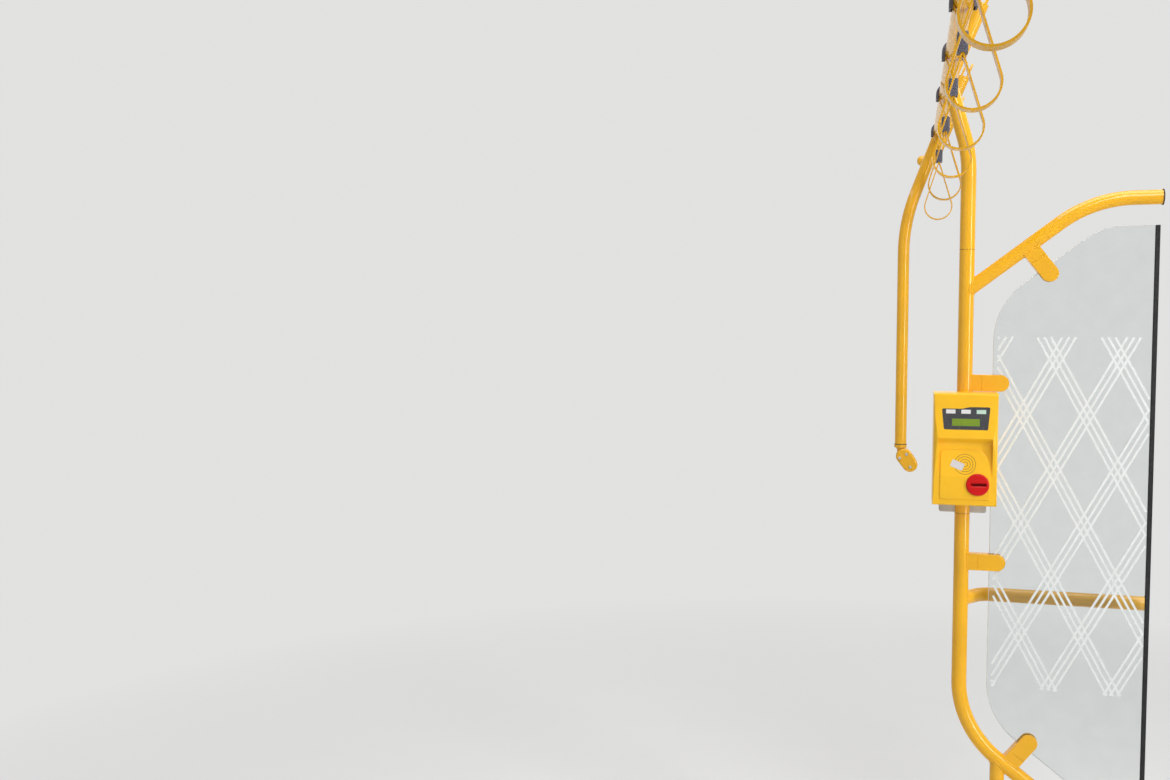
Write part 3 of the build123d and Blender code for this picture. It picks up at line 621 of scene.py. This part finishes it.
def polyline(name, runs, closed):
    """An object of edges only: each run is a list of points."""
    vertices = [point for run in runs for point in run]
    edges = []
    start = 0
    for run in runs:
        last = start + len(run) - 1
        edges += [(i, i + 1) for i in range(start, last)]
        if closed:
            edges.append((last, start))
        start = last + 1
    mesh = bpy.data.meshes.new(name)
    mesh.from_pydata(vertices, edges, [])
    return link(name, mesh)


def bevel(form, edges, width, segments):
    """Rounds some edges of a bmesh."""
    bmesh.ops.bevel(
        form, geom=edges, offset=width, offset_type="OFFSET", segments=segments,
        profile=0.5, affect="EDGES", clamp_overlap=True,
    )


# Geometry Nodes


class Tree(Graph):
    """A Geometry Nodes tree with named inputs, the last of them a material."""

    def __init__(self, name, **inputs):
        self.tree = bpy.data.node_groups.new(name, "GeometryNodeTree")
        self.tree.is_modifier = True
        super().__init__(self.tree)
        face = self.tree.interface
        for way in ("INPUT", "OUTPUT"):
            face.new_socket(name="Geometry", in_out=way, socket_type="NodeSocketGeometry")
        self.sockets = {}
        for label, kind in {**inputs, "Material": "Material"}.items():
            socket = face.new_socket(name=label, in_out="INPUT", socket_type=f"NodeSocket{kind}")
            self.sockets[label] = socket.identifier
        self.start = self.node("NodeGroupInput")

    def __getitem__(self, label):
        """One of the tree's own inputs."""
        return self.start.outputs[label]

    def curve(self):
        """The piece's edges as a curve."""
        return self.out("GeometryNodeMeshToCurve", (0, self["Geometry"]))

    def circle(self, radius, sides):
        """A round curve."""
        return self.out(
            "GeometryNodeCurvePrimitiveCircle", ("Resolution", sides), ("Radius", radius)
        )

    def oblong(self, width, height):
        """A rectangular curve."""
        return self.out(
            "GeometryNodeCurvePrimitiveQuadrilateral", ("Width", width), ("Height", height)
        )

    def sweep(self, curve, section, *wires):
        """A section swept along a curve."""
        return self.out("GeometryNodeCurveToMesh", (0, curve), ("Profile Curve", section), *wires)

    def on_points(self, points, instance, *wires):
        """An instance on every point."""
        return self.out(
            "GeometryNodeInstanceOnPoints", ("Points", points), ("Instance", instance), *wires
        )

    def finish(self, geometry, smooth=True):
        """Realizes the instances, sets the material and ends the tree."""
        real = self.out("GeometryNodeRealizeInstances", (0, geometry))
        shaded = self.out("GeometryNodeSetShadeSmooth", (0, real), ("Shade Smooth", smooth))
        coated = self.out("GeometryNodeSetMaterial", (0, shaded), ("Material", self["Material"]))
        self.node("NodeGroupOutput", (0, coated))
        return self

    def apply(self, piece, **values):
        """Runs the tree on a piece and leaves a plain mesh."""
        modifier = piece.modifiers.new("shape", "NODES")
        modifier.node_group = self.tree
        for label, value in values.items():
            modifier[self.sockets[label]] = value
        bpy.context.view_layer.update()
        seen = piece.evaluated_get(bpy.context.evaluated_depsgraph_get())
        mesh = bpy.data.meshes.new_from_object(seen)
        piece.modifiers.remove(modifier)
        piece.data = mesh


def bead_tree():
    """Weld beads: a rippled round section along edges."""
    tree = Tree("weld bead", Bead="Float", Ripple="Float")
    step = tree.math("DIVIDE", tree["Ripple"], SAMPLES_PER_RIPPLE)
    even = tree.out(
        "GeometryNodeResampleCurve", ("Curve", tree.curve()), ("Length", step), mode="LENGTH"
    )
    along = tree.node("GeometryNodeSplineParameter").outputs["Length"]
    turn = tree.math("MULTIPLY", tree.math("DIVIDE", along, tree["Ripple"]), tau)
    swell = tree.math("MULTIPLY_ADD", tree.math("SINE", turn), RIPPLE_SWELL, 1.0)
    sized = tree.out("GeometryNodeSetCurveRadius", (0, even), ("Radius", swell))
    scale = tree.out("GeometryNodeInputRadius")
    return tree.finish(tree.sweep(sized, tree.circle(tree["Bead"], sides=10), ("Scale", scale)))


def screw_tree():
    """Screws: an instance on each point, its axis along the point's facing."""
    tree = Tree("screws on points", Screw="Object")
    facing = tree.node(
        "GeometryNodeInputNamedAttribute", ("Name", "facing"), data_type="FLOAT_VECTOR"
    ).outputs["Attribute"]
    turn = tree.out("FunctionNodeAlignRotationToVector", ("Vector", facing), axis="Z")
    screw = tree.node("GeometryNodeObjectInfo", ("Object", tree["Screw"])).outputs["Geometry"]
    return tree.finish(tree.on_points(tree["Geometry"], screw, ("Rotation", turn)))


def strip_tree():
    """Flat strips along edges that lie in an upright plane."""
    tree = Tree("etched strips", Width="Float", Height="Float")
    flat = tree.out(
        "GeometryNodeSetCurveNormal", (0, tree.curve()), ("Normal", AHEAD), mode="FREE"
    )
    section = tree.oblong(tree["Height"], tree["Width"])
    return tree.finish(tree.sweep(flat, section, ("Fill Caps", True)), smooth=False)


def rib_tree():
    """Ribs round a sleeve: rounded rings stacked down from the piece's one point."""
    tree = Tree(
        "sleeve ribs", Count="Int", Step="Float", Width="Float", Depth="Float",
        Corner="Float", Rib="Float",
    )
    rounded = tree.out(
        "GeometryNodeFilletCurve", ("Curve", tree.oblong(tree["Width"], tree["Depth"])),
        ("Radius", tree["Corner"]), ("Count", 6), mode="POLY",
    )
    ring = tree.sweep(rounded, tree.circle(tree["Rib"], sides=8))
    down = tree.out("ShaderNodeCombineXYZ", ("Z", tree.math("MULTIPLY", tree["Step"], -1.0)))
    line = tree.out("GeometryNodeMeshLine", ("Count", tree["Count"]), ("Offset", down))
    first = tree.out(
        "GeometryNodeSampleIndex", (0, tree["Geometry"]),
        (1, tree.out("GeometryNodeInputPosition")), data_type="FLOAT_VECTOR", domain="POINT",
    )
    rings = tree.on_points(line, ring)
    return tree.finish(tree.out("GeometryNodeTransform", (0, rings), ("Translation", first)))


def ring_tree():
    """Printed rings: circles of growing radius, traced with a flat line."""
    tree = Tree(
        "printed rings", Count="Int", First="Float", Step="Float", Line="Float", Height="Float"
    )
    points = tree.out("GeometryNodeMeshLine", ("Count", tree["Count"]), ("Offset", Vector()))
    index = tree.out("GeometryNodeInputIndex")
    radius = tree.math("MULTIPLY_ADD", index, tree["Step"], tree["First"])
    placed = tree.on_points(points, tree.circle(1.0, sides=72), ("Scale", radius))
    curves = tree.out("GeometryNodeRealizeInstances", (0, placed))
    section = tree.oblong(tree["Line"], tree["Height"])
    return tree.finish(tree.sweep(curves, section), smooth=False)


# Weld beads


def saddle(foot, way, tube_r, host_way, host_r):
    """Loop of points where a tube that starts at foot leaves a round host tube's surface."""
    way = Vector(way).normalized()
    host = Vector(host_way).normalized()
    side = way.cross(host).normalized()
    up = side.cross(way)
    across = way - host * way.dot(host)
    points = []
    for i in range(LOOP_POINTS):
        turn = tau * i / LOOP_POINTS
        start = (side * cos(turn) + up * sin(turn)) * tube_r
        off = start - host * start.dot(host)
        a = across.dot(across)
        b = 2 * across.dot(off)
        c = off.dot(off) - host_r**2
        reach = (-b + sqrt(max(0.0, b * b - 4 * a * c))) / (2 * a)
        points.append(foot + start + way * reach)
    return points


def moved_to(loop, edge_z, pick):
    """A loop moved up so that its highest or lowest point meets the coped end of a tube."""
    lift = UP * (edge_z - pick(point.z for point in loop))
    return [point + lift for point in loop]


def tab_frame(node):
    """A glass clamp's direction, its cross direction, its point on the tube's axis, half width."""
    slope = settings("rail_weld").branch_slope
    number = int(node.rsplit("_", 1)[1])
    turn = {1: 0.0, 2: 0.0, 3: slope - pi / 2, 4: pi / 2 - slope}[number]
    along = Vector((cos(turn), 0, sin(turn)))
    across = Vector((-sin(turn), 0, cos(turn)))
    corners = [vertex.co for vertex in frame["nodes"][node].data.vertices]
    spread = [corner.dot(across) for corner in corners]
    reach = max(corner.dot(along) for corner in corners)
    axis = reach - settings("rail_screw").tab_reach
    point = along * axis + across * (max(spread) + min(spread)) / 2
    return along, across, point, (max(spread) - min(spread)) / 2


def tab_loop(node, tube_r):
    """Loop where a glass clamp's tab meets its tube."""
    along, across, point, half_w = tab_frame(node)
    half_t = size(node).y / 2
    corners = ((-half_w, -half_t), (half_w, -half_t), (half_w, half_t), (-half_w, half_t))
    points = []
    for (x0, y0), (x1, y1) in zip(corners, corners[1:] + corners[:1]):
        for step in range(TAB_STEPS):
            x = x0 + (x1 - x0) * step / TAB_STEPS
            y = y0 + (y1 - y0) * step / TAB_STEPS
            points.append(point + across * x + along * sqrt(tube_r**2 - y * y) + AHEAD * y)
    return points


def level_ring(x, y, z, radius):
    """Loop of points round an upright axis."""
    turns = [tau * i / LOOP_POINTS for i in range(LOOP_POINTS)]
    return [Vector((x + radius * cos(turn), y + radius * sin(turn), z)) for turn in turns]


def weld_runs(weld):
    """The loops of all weld beads."""
    slope = weld.branch_slope
    pole = Vector((POLE.x, 0, 0))
    mid_rail = Vector((POLE.x, 0, middle("screen_mid_rail").z))
    swing = (cos(weld.mid_rail_swing), sin(weld.mid_rail_swing), 0)
    branch = saddle(pole, (cos(slope), 0, sin(slope)), BRANCH_R, UP, POLE_R)
    leg = saddle(Vector(), (0, 0, -1), LEG_R, (cos(slope), 0, -sin(slope)), POLE_R)
    runs = [
        moved_to(branch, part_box("screen_branch")[0].z, min),
        moved_to(leg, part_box("floor_leg")[1].z, max),
        saddle(mid_rail, swing, BRANCH_R, UP, POLE_R),
    ]
    pole_way = (sin(weld.pole_lean), 0, -cos(weld.pole_lean))
    seat_pole_way = (-sin(weld.seat_pole_lean), 0, -cos(weld.seat_pole_lean))
    arm_way = (sin(weld.arm_lean), 0, cos(weld.arm_lean))
    for y, way, tube_r in (
        (0.0, pole_way, POLE_R),
        (middle("seat_stanchion").y, seat_pole_way, POLE_R),
        *((middle(arm).y, arm_way, BRANCH_R) for arm in ARMS),
    ):
        runs.append(saddle(Vector((RAIL.x, y, RAIL.z)), way, tube_r, AHEAD, POLE_R))
    runs.append(level_ring(0.0, 0.0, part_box("floor_flange")[1].z, LEG_R))
    for tab in TABS:
        runs.append(tab_loop(tab, BRANCH_R if tab.endswith("3") else POLE_R))
    return runs


# Screws


def screw_head(screw):
    """A button head with a hexagon socket, its seat at the origin and its axis along Z."""
    sixth = tau / 6
    top = screw.head_h
    rings = [(screw.head_r * out, top * up, False) for out, up in HEAD_SECTION]
    rings += [(screw.socket_r, top - depth, True) for depth in (0.0, screw.socket_depth)]
    form = bmesh.new()
    loops = []
    for radius, height, hexagonal in rings:
        loop = []
        for i in range(HEAD_SIDES):
            turn = tau * i / HEAD_SIDES
            reach = radius
            if hexagonal:
                reach *= cos(sixth / 2) / cos(turn % sixth - sixth / 2)
            loop.append(form.verts.new((reach * cos(turn), reach * sin(turn), height)))
        loops.append(loop)
    for low, high in zip(loops, loops[1:]):
        for i in range(HEAD_SIDES):
            j = (i + 1) % HEAD_SIDES
            form.faces.new((low[i], low[j], high[j], high[i]))
    form.faces.new(loops[0][::-1])
    form.faces.new(loops[-1])
    return from_bmesh("screw_head", form)


def screw_points(screw):
    """Place and facing of every screw head."""
    points = []
    for node, facing in (("seat_clamp_near", -1), ("seat_clamp_far", 1)):
        low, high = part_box(node)
        centre = (low + high) / 2
        face_y = high.y if facing > 0 else low.y
        for x, z in CASTING_SCREWS:
            points.append((Vector((centre.x + x, face_y, centre.z + z)), Vector((0, facing, 0))))
    for tab in TABS:
        along, _, point, _ = tab_frame(tab)
        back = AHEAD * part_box(tab)[1].y
        for out in (screw.tab_first, screw.tab_second):
            points.append((point + along * out + back, AHEAD))
    low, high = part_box("validator_bracket")
    edge = screw.bracket_edge
    for x in (low.x + edge, high.x - edge):
        for z in (low.z + 2 * edge, (low.z + high.z) / 2, high.z - 2 * edge):
            points.append((Vector((x, high.y, z)), AHEAD))
    return points


# Glass


def pane_outline():
    """The pane's outline on its front face, as (x, z) points in order round its middle."""
    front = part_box("glass_pane")[0].y
    spots = {
        (round(v.co.x, 6), round(v.co.z, 6))
        for v in frame["nodes"]["glass_pane"].data.vertices
        if abs(v.co.y - front) < 0.1 * MILLI
    }
    mid = middle("glass_pane")
    return sorted(spots, key=lambda spot: atan2(spot[1] - mid.z, spot[0] - mid.x))


def clipped(start, way, outline, etch):
    """The stretch of a line inside an outline, off its edge and between two heights."""
    low, high = -LINE_REACH, LINE_REACH
    limits = []
    for (x0, z0), (x1, z1) in zip(outline, outline[1:] + outline[:1]):
        run = hypot(x1 - x0, z1 - z0)
        inward = ((z0 - z1) / run, (x1 - x0) / run)
        limits.append((inward, inward[0] * x0 + inward[1] * z0 + etch.margin))
    limits += [((0.0, -1.0), -etch.top), ((0.0, 1.0), etch.foot)]
    for (nx, nz), least in limits:
        rate = nx * way[0] + nz * way[1]
        short = least - nx * start[0] - nz * start[1]
        if abs(rate) < PARALLEL:
            continue
        if rate > 0:
            low = max(low, short / rate)
        else:
            high = min(high, short / rate)
    if high - low < LINE_SHORTEST:
        return None
    return [(start[0] + way[0] * t, start[1] + way[1] * t) for t in (low, high)]


def lattice(etch):
    """Segments of the etched lattice: groups of three lines, leaning both ways."""
    outline = pane_outline()
    low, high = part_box("glass_pane")
    count = int((high.z - low.z) / etch.pitch) + SPARE_GROUPS
    segments = []
    for lean in (1, -1):
        way = (cos(etch.steep) * lean, sin(etch.steep))
        across = (-way[1] * lean, way[0] * lean)
        front = low.y - etch.proud * (0.5 + lean * 0.25)  # so that crossing lines don't coincide
        for group in range(-count, count + 1):
            for line in (-1, 0, 1):
                shift = group * etch.pitch + line * etch.spacing
                start = (low.x + across[0] * shift, low.z + across[1] * shift)
                piece = clipped(start, way, outline, etch)
                if piece:
                    segments.append([Vector((x, front, z)) for x, z in piece])
    return segments


# Stage


def stage_floor(stage):
    """A wide plain floor that fades into the background."""
    form = bmesh.new()
    bmesh.ops.create_circle(form, cap_ends=True, radius=FLOOR_R, segments=LOOP_POINTS)
    floor = from_bmesh("floor", form, smooth=False)
    finish = Finish("floor_matt")
    finish.put(Roughness=0.75, Specular_IOR_Level=0.2)
    colour = linear(stage.floor)
    finish.clouds(shade(colour, 0.985), colour, scale=3.0, detail=4.0)
    far = finish.node("ShaderNodeVectorMath", (0, finish.place), operation="LENGTH")
    fade = finish.span(far.outputs["Value"], (stage.fade_near, stage.fade_far), (0.0, 1.0))
    seen = finish.math("MULTIPLY", fade, finish.seen_directly())
    plain = finish.out("ShaderNodeEmission", ("Color", linear(stage.background)))
    both = finish.out("ShaderNodeMixShader", (0, seen), (1, finish.shader.outputs[0]), (2, plain))
    finish.wire(both, finish.nodes["Material Output"].inputs["Surface"])
    finish.material.cycles.emission_sampling = "NONE"
    floor.data.materials.append(finish.material)
    return floor


def stage_background(stage):
    """Plain background for the camera, gloss and glass, and even light for the rest."""
    world = bpy.data.worlds.new("studio")
    world.use_nodes = True
    bpy.context.scene.world = world
    graph = Graph(world.node_tree)
    graph.nodes.clear()
    plain = graph.out("ShaderNodeBackground", ("Color", linear(stage.background)))
    light = graph.out(
        "ShaderNodeBackground", ("Color", (1.0, 1.0, 1.0, 1.0)), ("Strength", stage.ambient)
    )
    mixed = graph.out("ShaderNodeMixShader", (0, graph.seen_directly()), (1, light), (2, plain))
    graph.node("ShaderNodeOutputWorld", ("Surface", mixed))


def stage_lamp(name, place, aim, along, width, length, energy, spread):
    """A soft lamp turned to its aim, with its length along a given way."""
    data = bpy.data.lights.new(name, "AREA")
    data.shape = "RECTANGLE"
    data.size = width
    data.size_y = length
    data.energy = energy
    data.spread = spread
    lamp = link(name, data)
    out = (Vector(place) - Vector(aim)).normalized()
    side = along.cross(out).normalized()
    turned = Matrix((side, out.cross(side), out)).transposed().to_4x4()
    lamp.matrix_world = Matrix.Translation(place) @ turned
    lamp.visible_camera = False
    lamp.visible_transmission = False


def stage_camera():
    """The photograph's viewpoint, a standing person's eye in the aisle."""
    data = bpy.data.cameras.new("camera")
    data.lens = CAMERA_LENS
    data.sensor_width = CAMERA_SENSOR
    data.clip_end = CAMERA_REACH
    camera = link("camera", data)
    camera.location = CAMERA_PLACE
    camera.rotation_euler = CAMERA_TURN
    bpy.context.scene.camera = camera


# Operators


class Step:
    """What every operator of this add-on shares."""

    bl_options = {"REGISTER", "UNDO"}


class RAIL_OT_finishes(Step, bpy.types.Operator):
    """Make the finishes and give each part of the frame its own"""

    bl_idname = "rail.finishes"
    bl_label = "Finishes"

    def execute(self, context):
        made = build_finishes()
        for part in frame["record"]["subparts"]:
            materials = frame["nodes"][part["node"]].data.materials
            materials.clear()
            materials.append(made[part["material_slot"]])
        return {"FINISHED"}


class RAIL_OT_welds(Step, bpy.types.Operator):
    """Lay painted weld beads round the coped joints"""

    bl_idname = "rail.welds"
    bl_label = "Weld beads"

    def execute(self, context):
        weld = settings("rail_weld")
        beads = polyline("weld_beads", weld_runs(weld), True)
        paint = finish_of("rail_yellow")
        bead_tree().apply(beads, Bead=weld.bead, Ripple=weld.ripple, Material=paint)
        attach(beads, "frame")
        return {"FINISHED"}


class RAIL_OT_seams(Step, bpy.types.Operator):
    """Lay dark rings in the stanchions' seams as painted shade, and the rubber lip over the seat
    clamp
    """

    bl_idname = "rail.seams"
    bl_label = "Seams"

    def execute(self, context):
        seam = settings("rail_seam")
        # Painted shade: dark rubber rings in the stanchions' seams stand in for the grooves'
        # shade.
        seam_shade_r = POLE_R - seam.seam_inset
        heights = [end.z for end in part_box("stanchion_middle")]
        gasket = middle("seat_clamp_gasket")
        lip_r = size("seat_clamp_gasket").x / 2
        tree = bead_tree()
        for name, runs, bead in (
            ("pole_seams", [level_ring(POLE.x, 0.0, z, seam_shade_r) for z in heights], seam.seam),
            ("seat_clamp_lip", [level_ring(*gasket, lip_r)], seam.lip),
        ):
            ring = polyline(name, runs, True)
            ripple = SEAM_RIPPLE * bead
            tree.apply(ring, Bead=bead, Ripple=ripple, Material=finish_of("rubber"))
            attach(ring, "frame")
        return {"FINISHED"}


class RAIL_OT_screws(Step, bpy.types.Operator):
    """Set button-head screws in the castings, the glass clamps and the bracket"""

    bl_idname = "rail.screws"
    bl_label = "Screws"

    def execute(self, context):
        screw = settings("rail_screw")
        head = screw_head(screw)
        points = screw_points(screw)
        mesh = bpy.data.meshes.new("screws")
        mesh.from_pydata([place for place, _ in points], [], [])
        facing = mesh.attributes.new("facing", "FLOAT_VECTOR", "POINT")
        facing.data.foreach_set("vector", [value for _, way in points for value in way])
        screws = link("screws", mesh)
        screw_tree().apply(screws, Screw=head, Material=finish_of("screw_zinc"))
        bpy.data.objects.remove(head)
        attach(screws, "frame")
        return {"FINISHED"}


class RAIL_OT_pane(Step, bpy.types.Operator):
    """Make the pane with bevelled edges, frosted pale as a painted highlight of the edge"""

    bl_idname = "rail.pane"
    bl_label = "Glass pane"

    def execute(self, context):
        form = bmesh.new()
        form.from_mesh(frame["nodes"]["glass_pane"].data)
        bmesh.ops.remove_doubles(form, verts=form.verts, dist=0.01 * MILLI)
        bmesh.ops.dissolve_limit(
            form, angle_limit=radians(0.5), verts=form.verts, edges=form.edges
        )
        rim = [
            edge
            for edge in form.edges
            if sum(abs(face.normal.y) > PANE_SIDE for face in edge.link_faces) == 1
        ]
        bevel(form, rim, settings("rail_etch").bevel, segments=2)
        bmesh.ops.recalc_face_normals(form, faces=form.faces)
        # Painted highlight: the side and bevel faces take the pale frosted finish, which stands in
        # for the edge's highlight.
        for face in form.faces:
            face.material_index = int(abs(face.normal.y) < PANE_FLAT)
        pane = from_bmesh("pane", form, smooth=False)
        for name in ("glass", "etched_glass"):
            pane.data.materials.append(finish_of(name))
        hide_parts("glass_pane")
        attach(pane, "frame")
        return {"FINISHED"}


class RAIL_OT_etching(Step, bpy.types.Operator):
    """Etch the lattice of fine lines on the front of the pane"""

    bl_idname = "rail.etching"
    bl_label = "Etched lattice"

    def execute(self, context):
        etch = settings("rail_etch")
        lines = polyline("etched_lattice", lattice(etch), False)
        frost = finish_of("etched_glass")
        strip_tree().apply(lines, Width=etch.line, Height=etch.proud, Material=frost)
        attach(lines, "frame")
        return {"FINISHED"}


class RAIL_OT_ribs(Step, bpy.types.Operator):
    """Rib the sleeves of the strap hangers"""

    bl_idname = "rail.ribs"
    bl_label = "Sleeve ribs"

    def execute(self, context):
        rib = settings("rail_rib")
        tree = rib_tree()
        for body in STRAPS:
            low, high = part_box(f"{body}_sleeve")
            step = (high.z - low.z) / (rib.count + 1)
            top = Vector(((low.x + high.x) / 2, (low.y + high.y) / 2, high.z - step))
            ribs = polyline(f"{body}_ribs", [[top]], False)
            tree.apply(
                ribs, Count=rib.count, Step=step, Width=high.x - low.x, Depth=high.y - low.y,
                Corner=rib.corner, Rib=rib.rib, Material=finish_of("hanger_grey"),
            )
            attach(ribs, body)
        return {"FINISHED"}


class RAIL_OT_prints(Step, bpy.types.Operator):
    """Print plain rings and a plain card on the reader pad"""

    bl_idname = "rail.prints"
    bl_label = "Printed marks"

    def execute(self, context):
        marks = settings("rail_print")
        pad = self.pad(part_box("validator_case")[0].z + marks.rings_up)
        rings = polyline("printed_rings", [[Vector()]], False)
        ring_tree().apply(
            rings, Count=marks.ring_count, First=marks.ring_first, Step=marks.ring_step,
            Line=marks.ring_line, Height=marks.film, Material=finish_of("printed_ink"),
        )
        rings.data.transform(pad)
        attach(rings, "frame")
        form = bmesh.new()
        flat = Matrix.Diagonal((marks.card_w, marks.card_h, 2 * marks.film, 1.0))
        bmesh.ops.create_cube(form, size=1.0, matrix=flat)
        upright = [edge for edge in form.edges if edge.verts[0].co.z != edge.verts[1].co.z]
        bevel(form, upright, marks.card_corner, segments=4)
        place = Matrix.Translation((-marks.card_left, -marks.card_low, 0))
        form.transform(pad @ place @ Matrix.Rotation(marks.card_tilt, 4, "Z"))
        card = from_bmesh("printed_card", form, smooth=False)
        card.data.materials.append(finish_of("printed_card"))
        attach(card, "frame")
        return {"FINISHED"}

    def pad(self, height):
        """Where the reader pad is at a height: its own axes, Z out of its face."""
        case = BVHTree.FromObject(
            frame["nodes"]["validator_case"], bpy.context.evaluated_depsgraph_get()
        )
        low, high = (
            case.ray_cast(Vector((POLE.x, -1.0, height + step)), AHEAD)[0]
            for step in (-PAD_PROBE, PAD_PROBE)
        )
        rise = (high - low).normalized()
        axes = Matrix((SIDE, rise, SIDE.cross(rise))).transposed().to_4x4()
        return Matrix.Translation((low + high) / 2) @ axes


class RAIL_OT_stage(Step, bpy.types.Operator):
    """Set up the floor, the lamps, the background and the camera"""

    bl_idname = "rail.stage"
    bl_label = "Stage"

    def execute(self, context):
        stage = settings("rail_stage")
        floor = stage_floor(stage)
        stage_background(stage)
        for name, share, place, aim, along, width, length in LAMPS:
            energy = share * getattr(stage, name.split("_")[-1])
            spread = stage.key_spread if name == "key" else pi
            stage_lamp(name, place, aim, along, width, length, energy, spread)
        stage_camera()
        context.scene.view_settings.view_transform = "Standard"
        return {"FINISHED"}


ORDER = (
    RAIL_OT_finishes,
    RAIL_OT_welds,
    RAIL_OT_seams,
    RAIL_OT_screws,
    RAIL_OT_pane,
    RAIL_OT_etching,
    RAIL_OT_ribs,
    RAIL_OT_prints,
    RAIL_OT_stage,
)


class RAIL_PT_sidebar(bpy.types.Panel):
    """Lists the settings and the steps of the grab rail."""

    bl_idname = "RAIL_PT_sidebar"
    bl_label = "Grab rail"
    bl_space_type = "VIEW_3D"
    bl_region_type = "UI"
    bl_category = "Grab Rail"

    def draw(self, context):
        for name, group in GROUPS:
            box = self.layout.box()
            box.label(text=group.__doc__.split(".")[0])
            for prop in group.__annotations__:
                box.prop(getattr(context.scene, name), prop)
        for step in ORDER:
            self.layout.operator(step.bl_idname)


CLASSES = (*(group for _, group in GROUPS), *ORDER, RAIL_PT_sidebar)


def register():
    """Registers the classes and hangs the settings on the scene."""
    for made in CLASSES:
        bpy.utils.register_class(made)
    for name, group in GROUPS:
        setattr(bpy.types.Scene, name, PointerProperty(type=group))


def unregister():
    """Takes the settings and classes away again."""
    for name, _ in GROUPS:
        delattr(bpy.types.Scene, name)
    for made in reversed(CLASSES):
        bpy.utils.unregister_class(made)


def main():
    """Registers the add-on and makes every piece in order."""
    register()
    for step in ORDER:
        group, name = step.bl_idname.split(".")
        getattr(getattr(bpy.ops, group), name)()


if __name__ == "__main__":
    main()
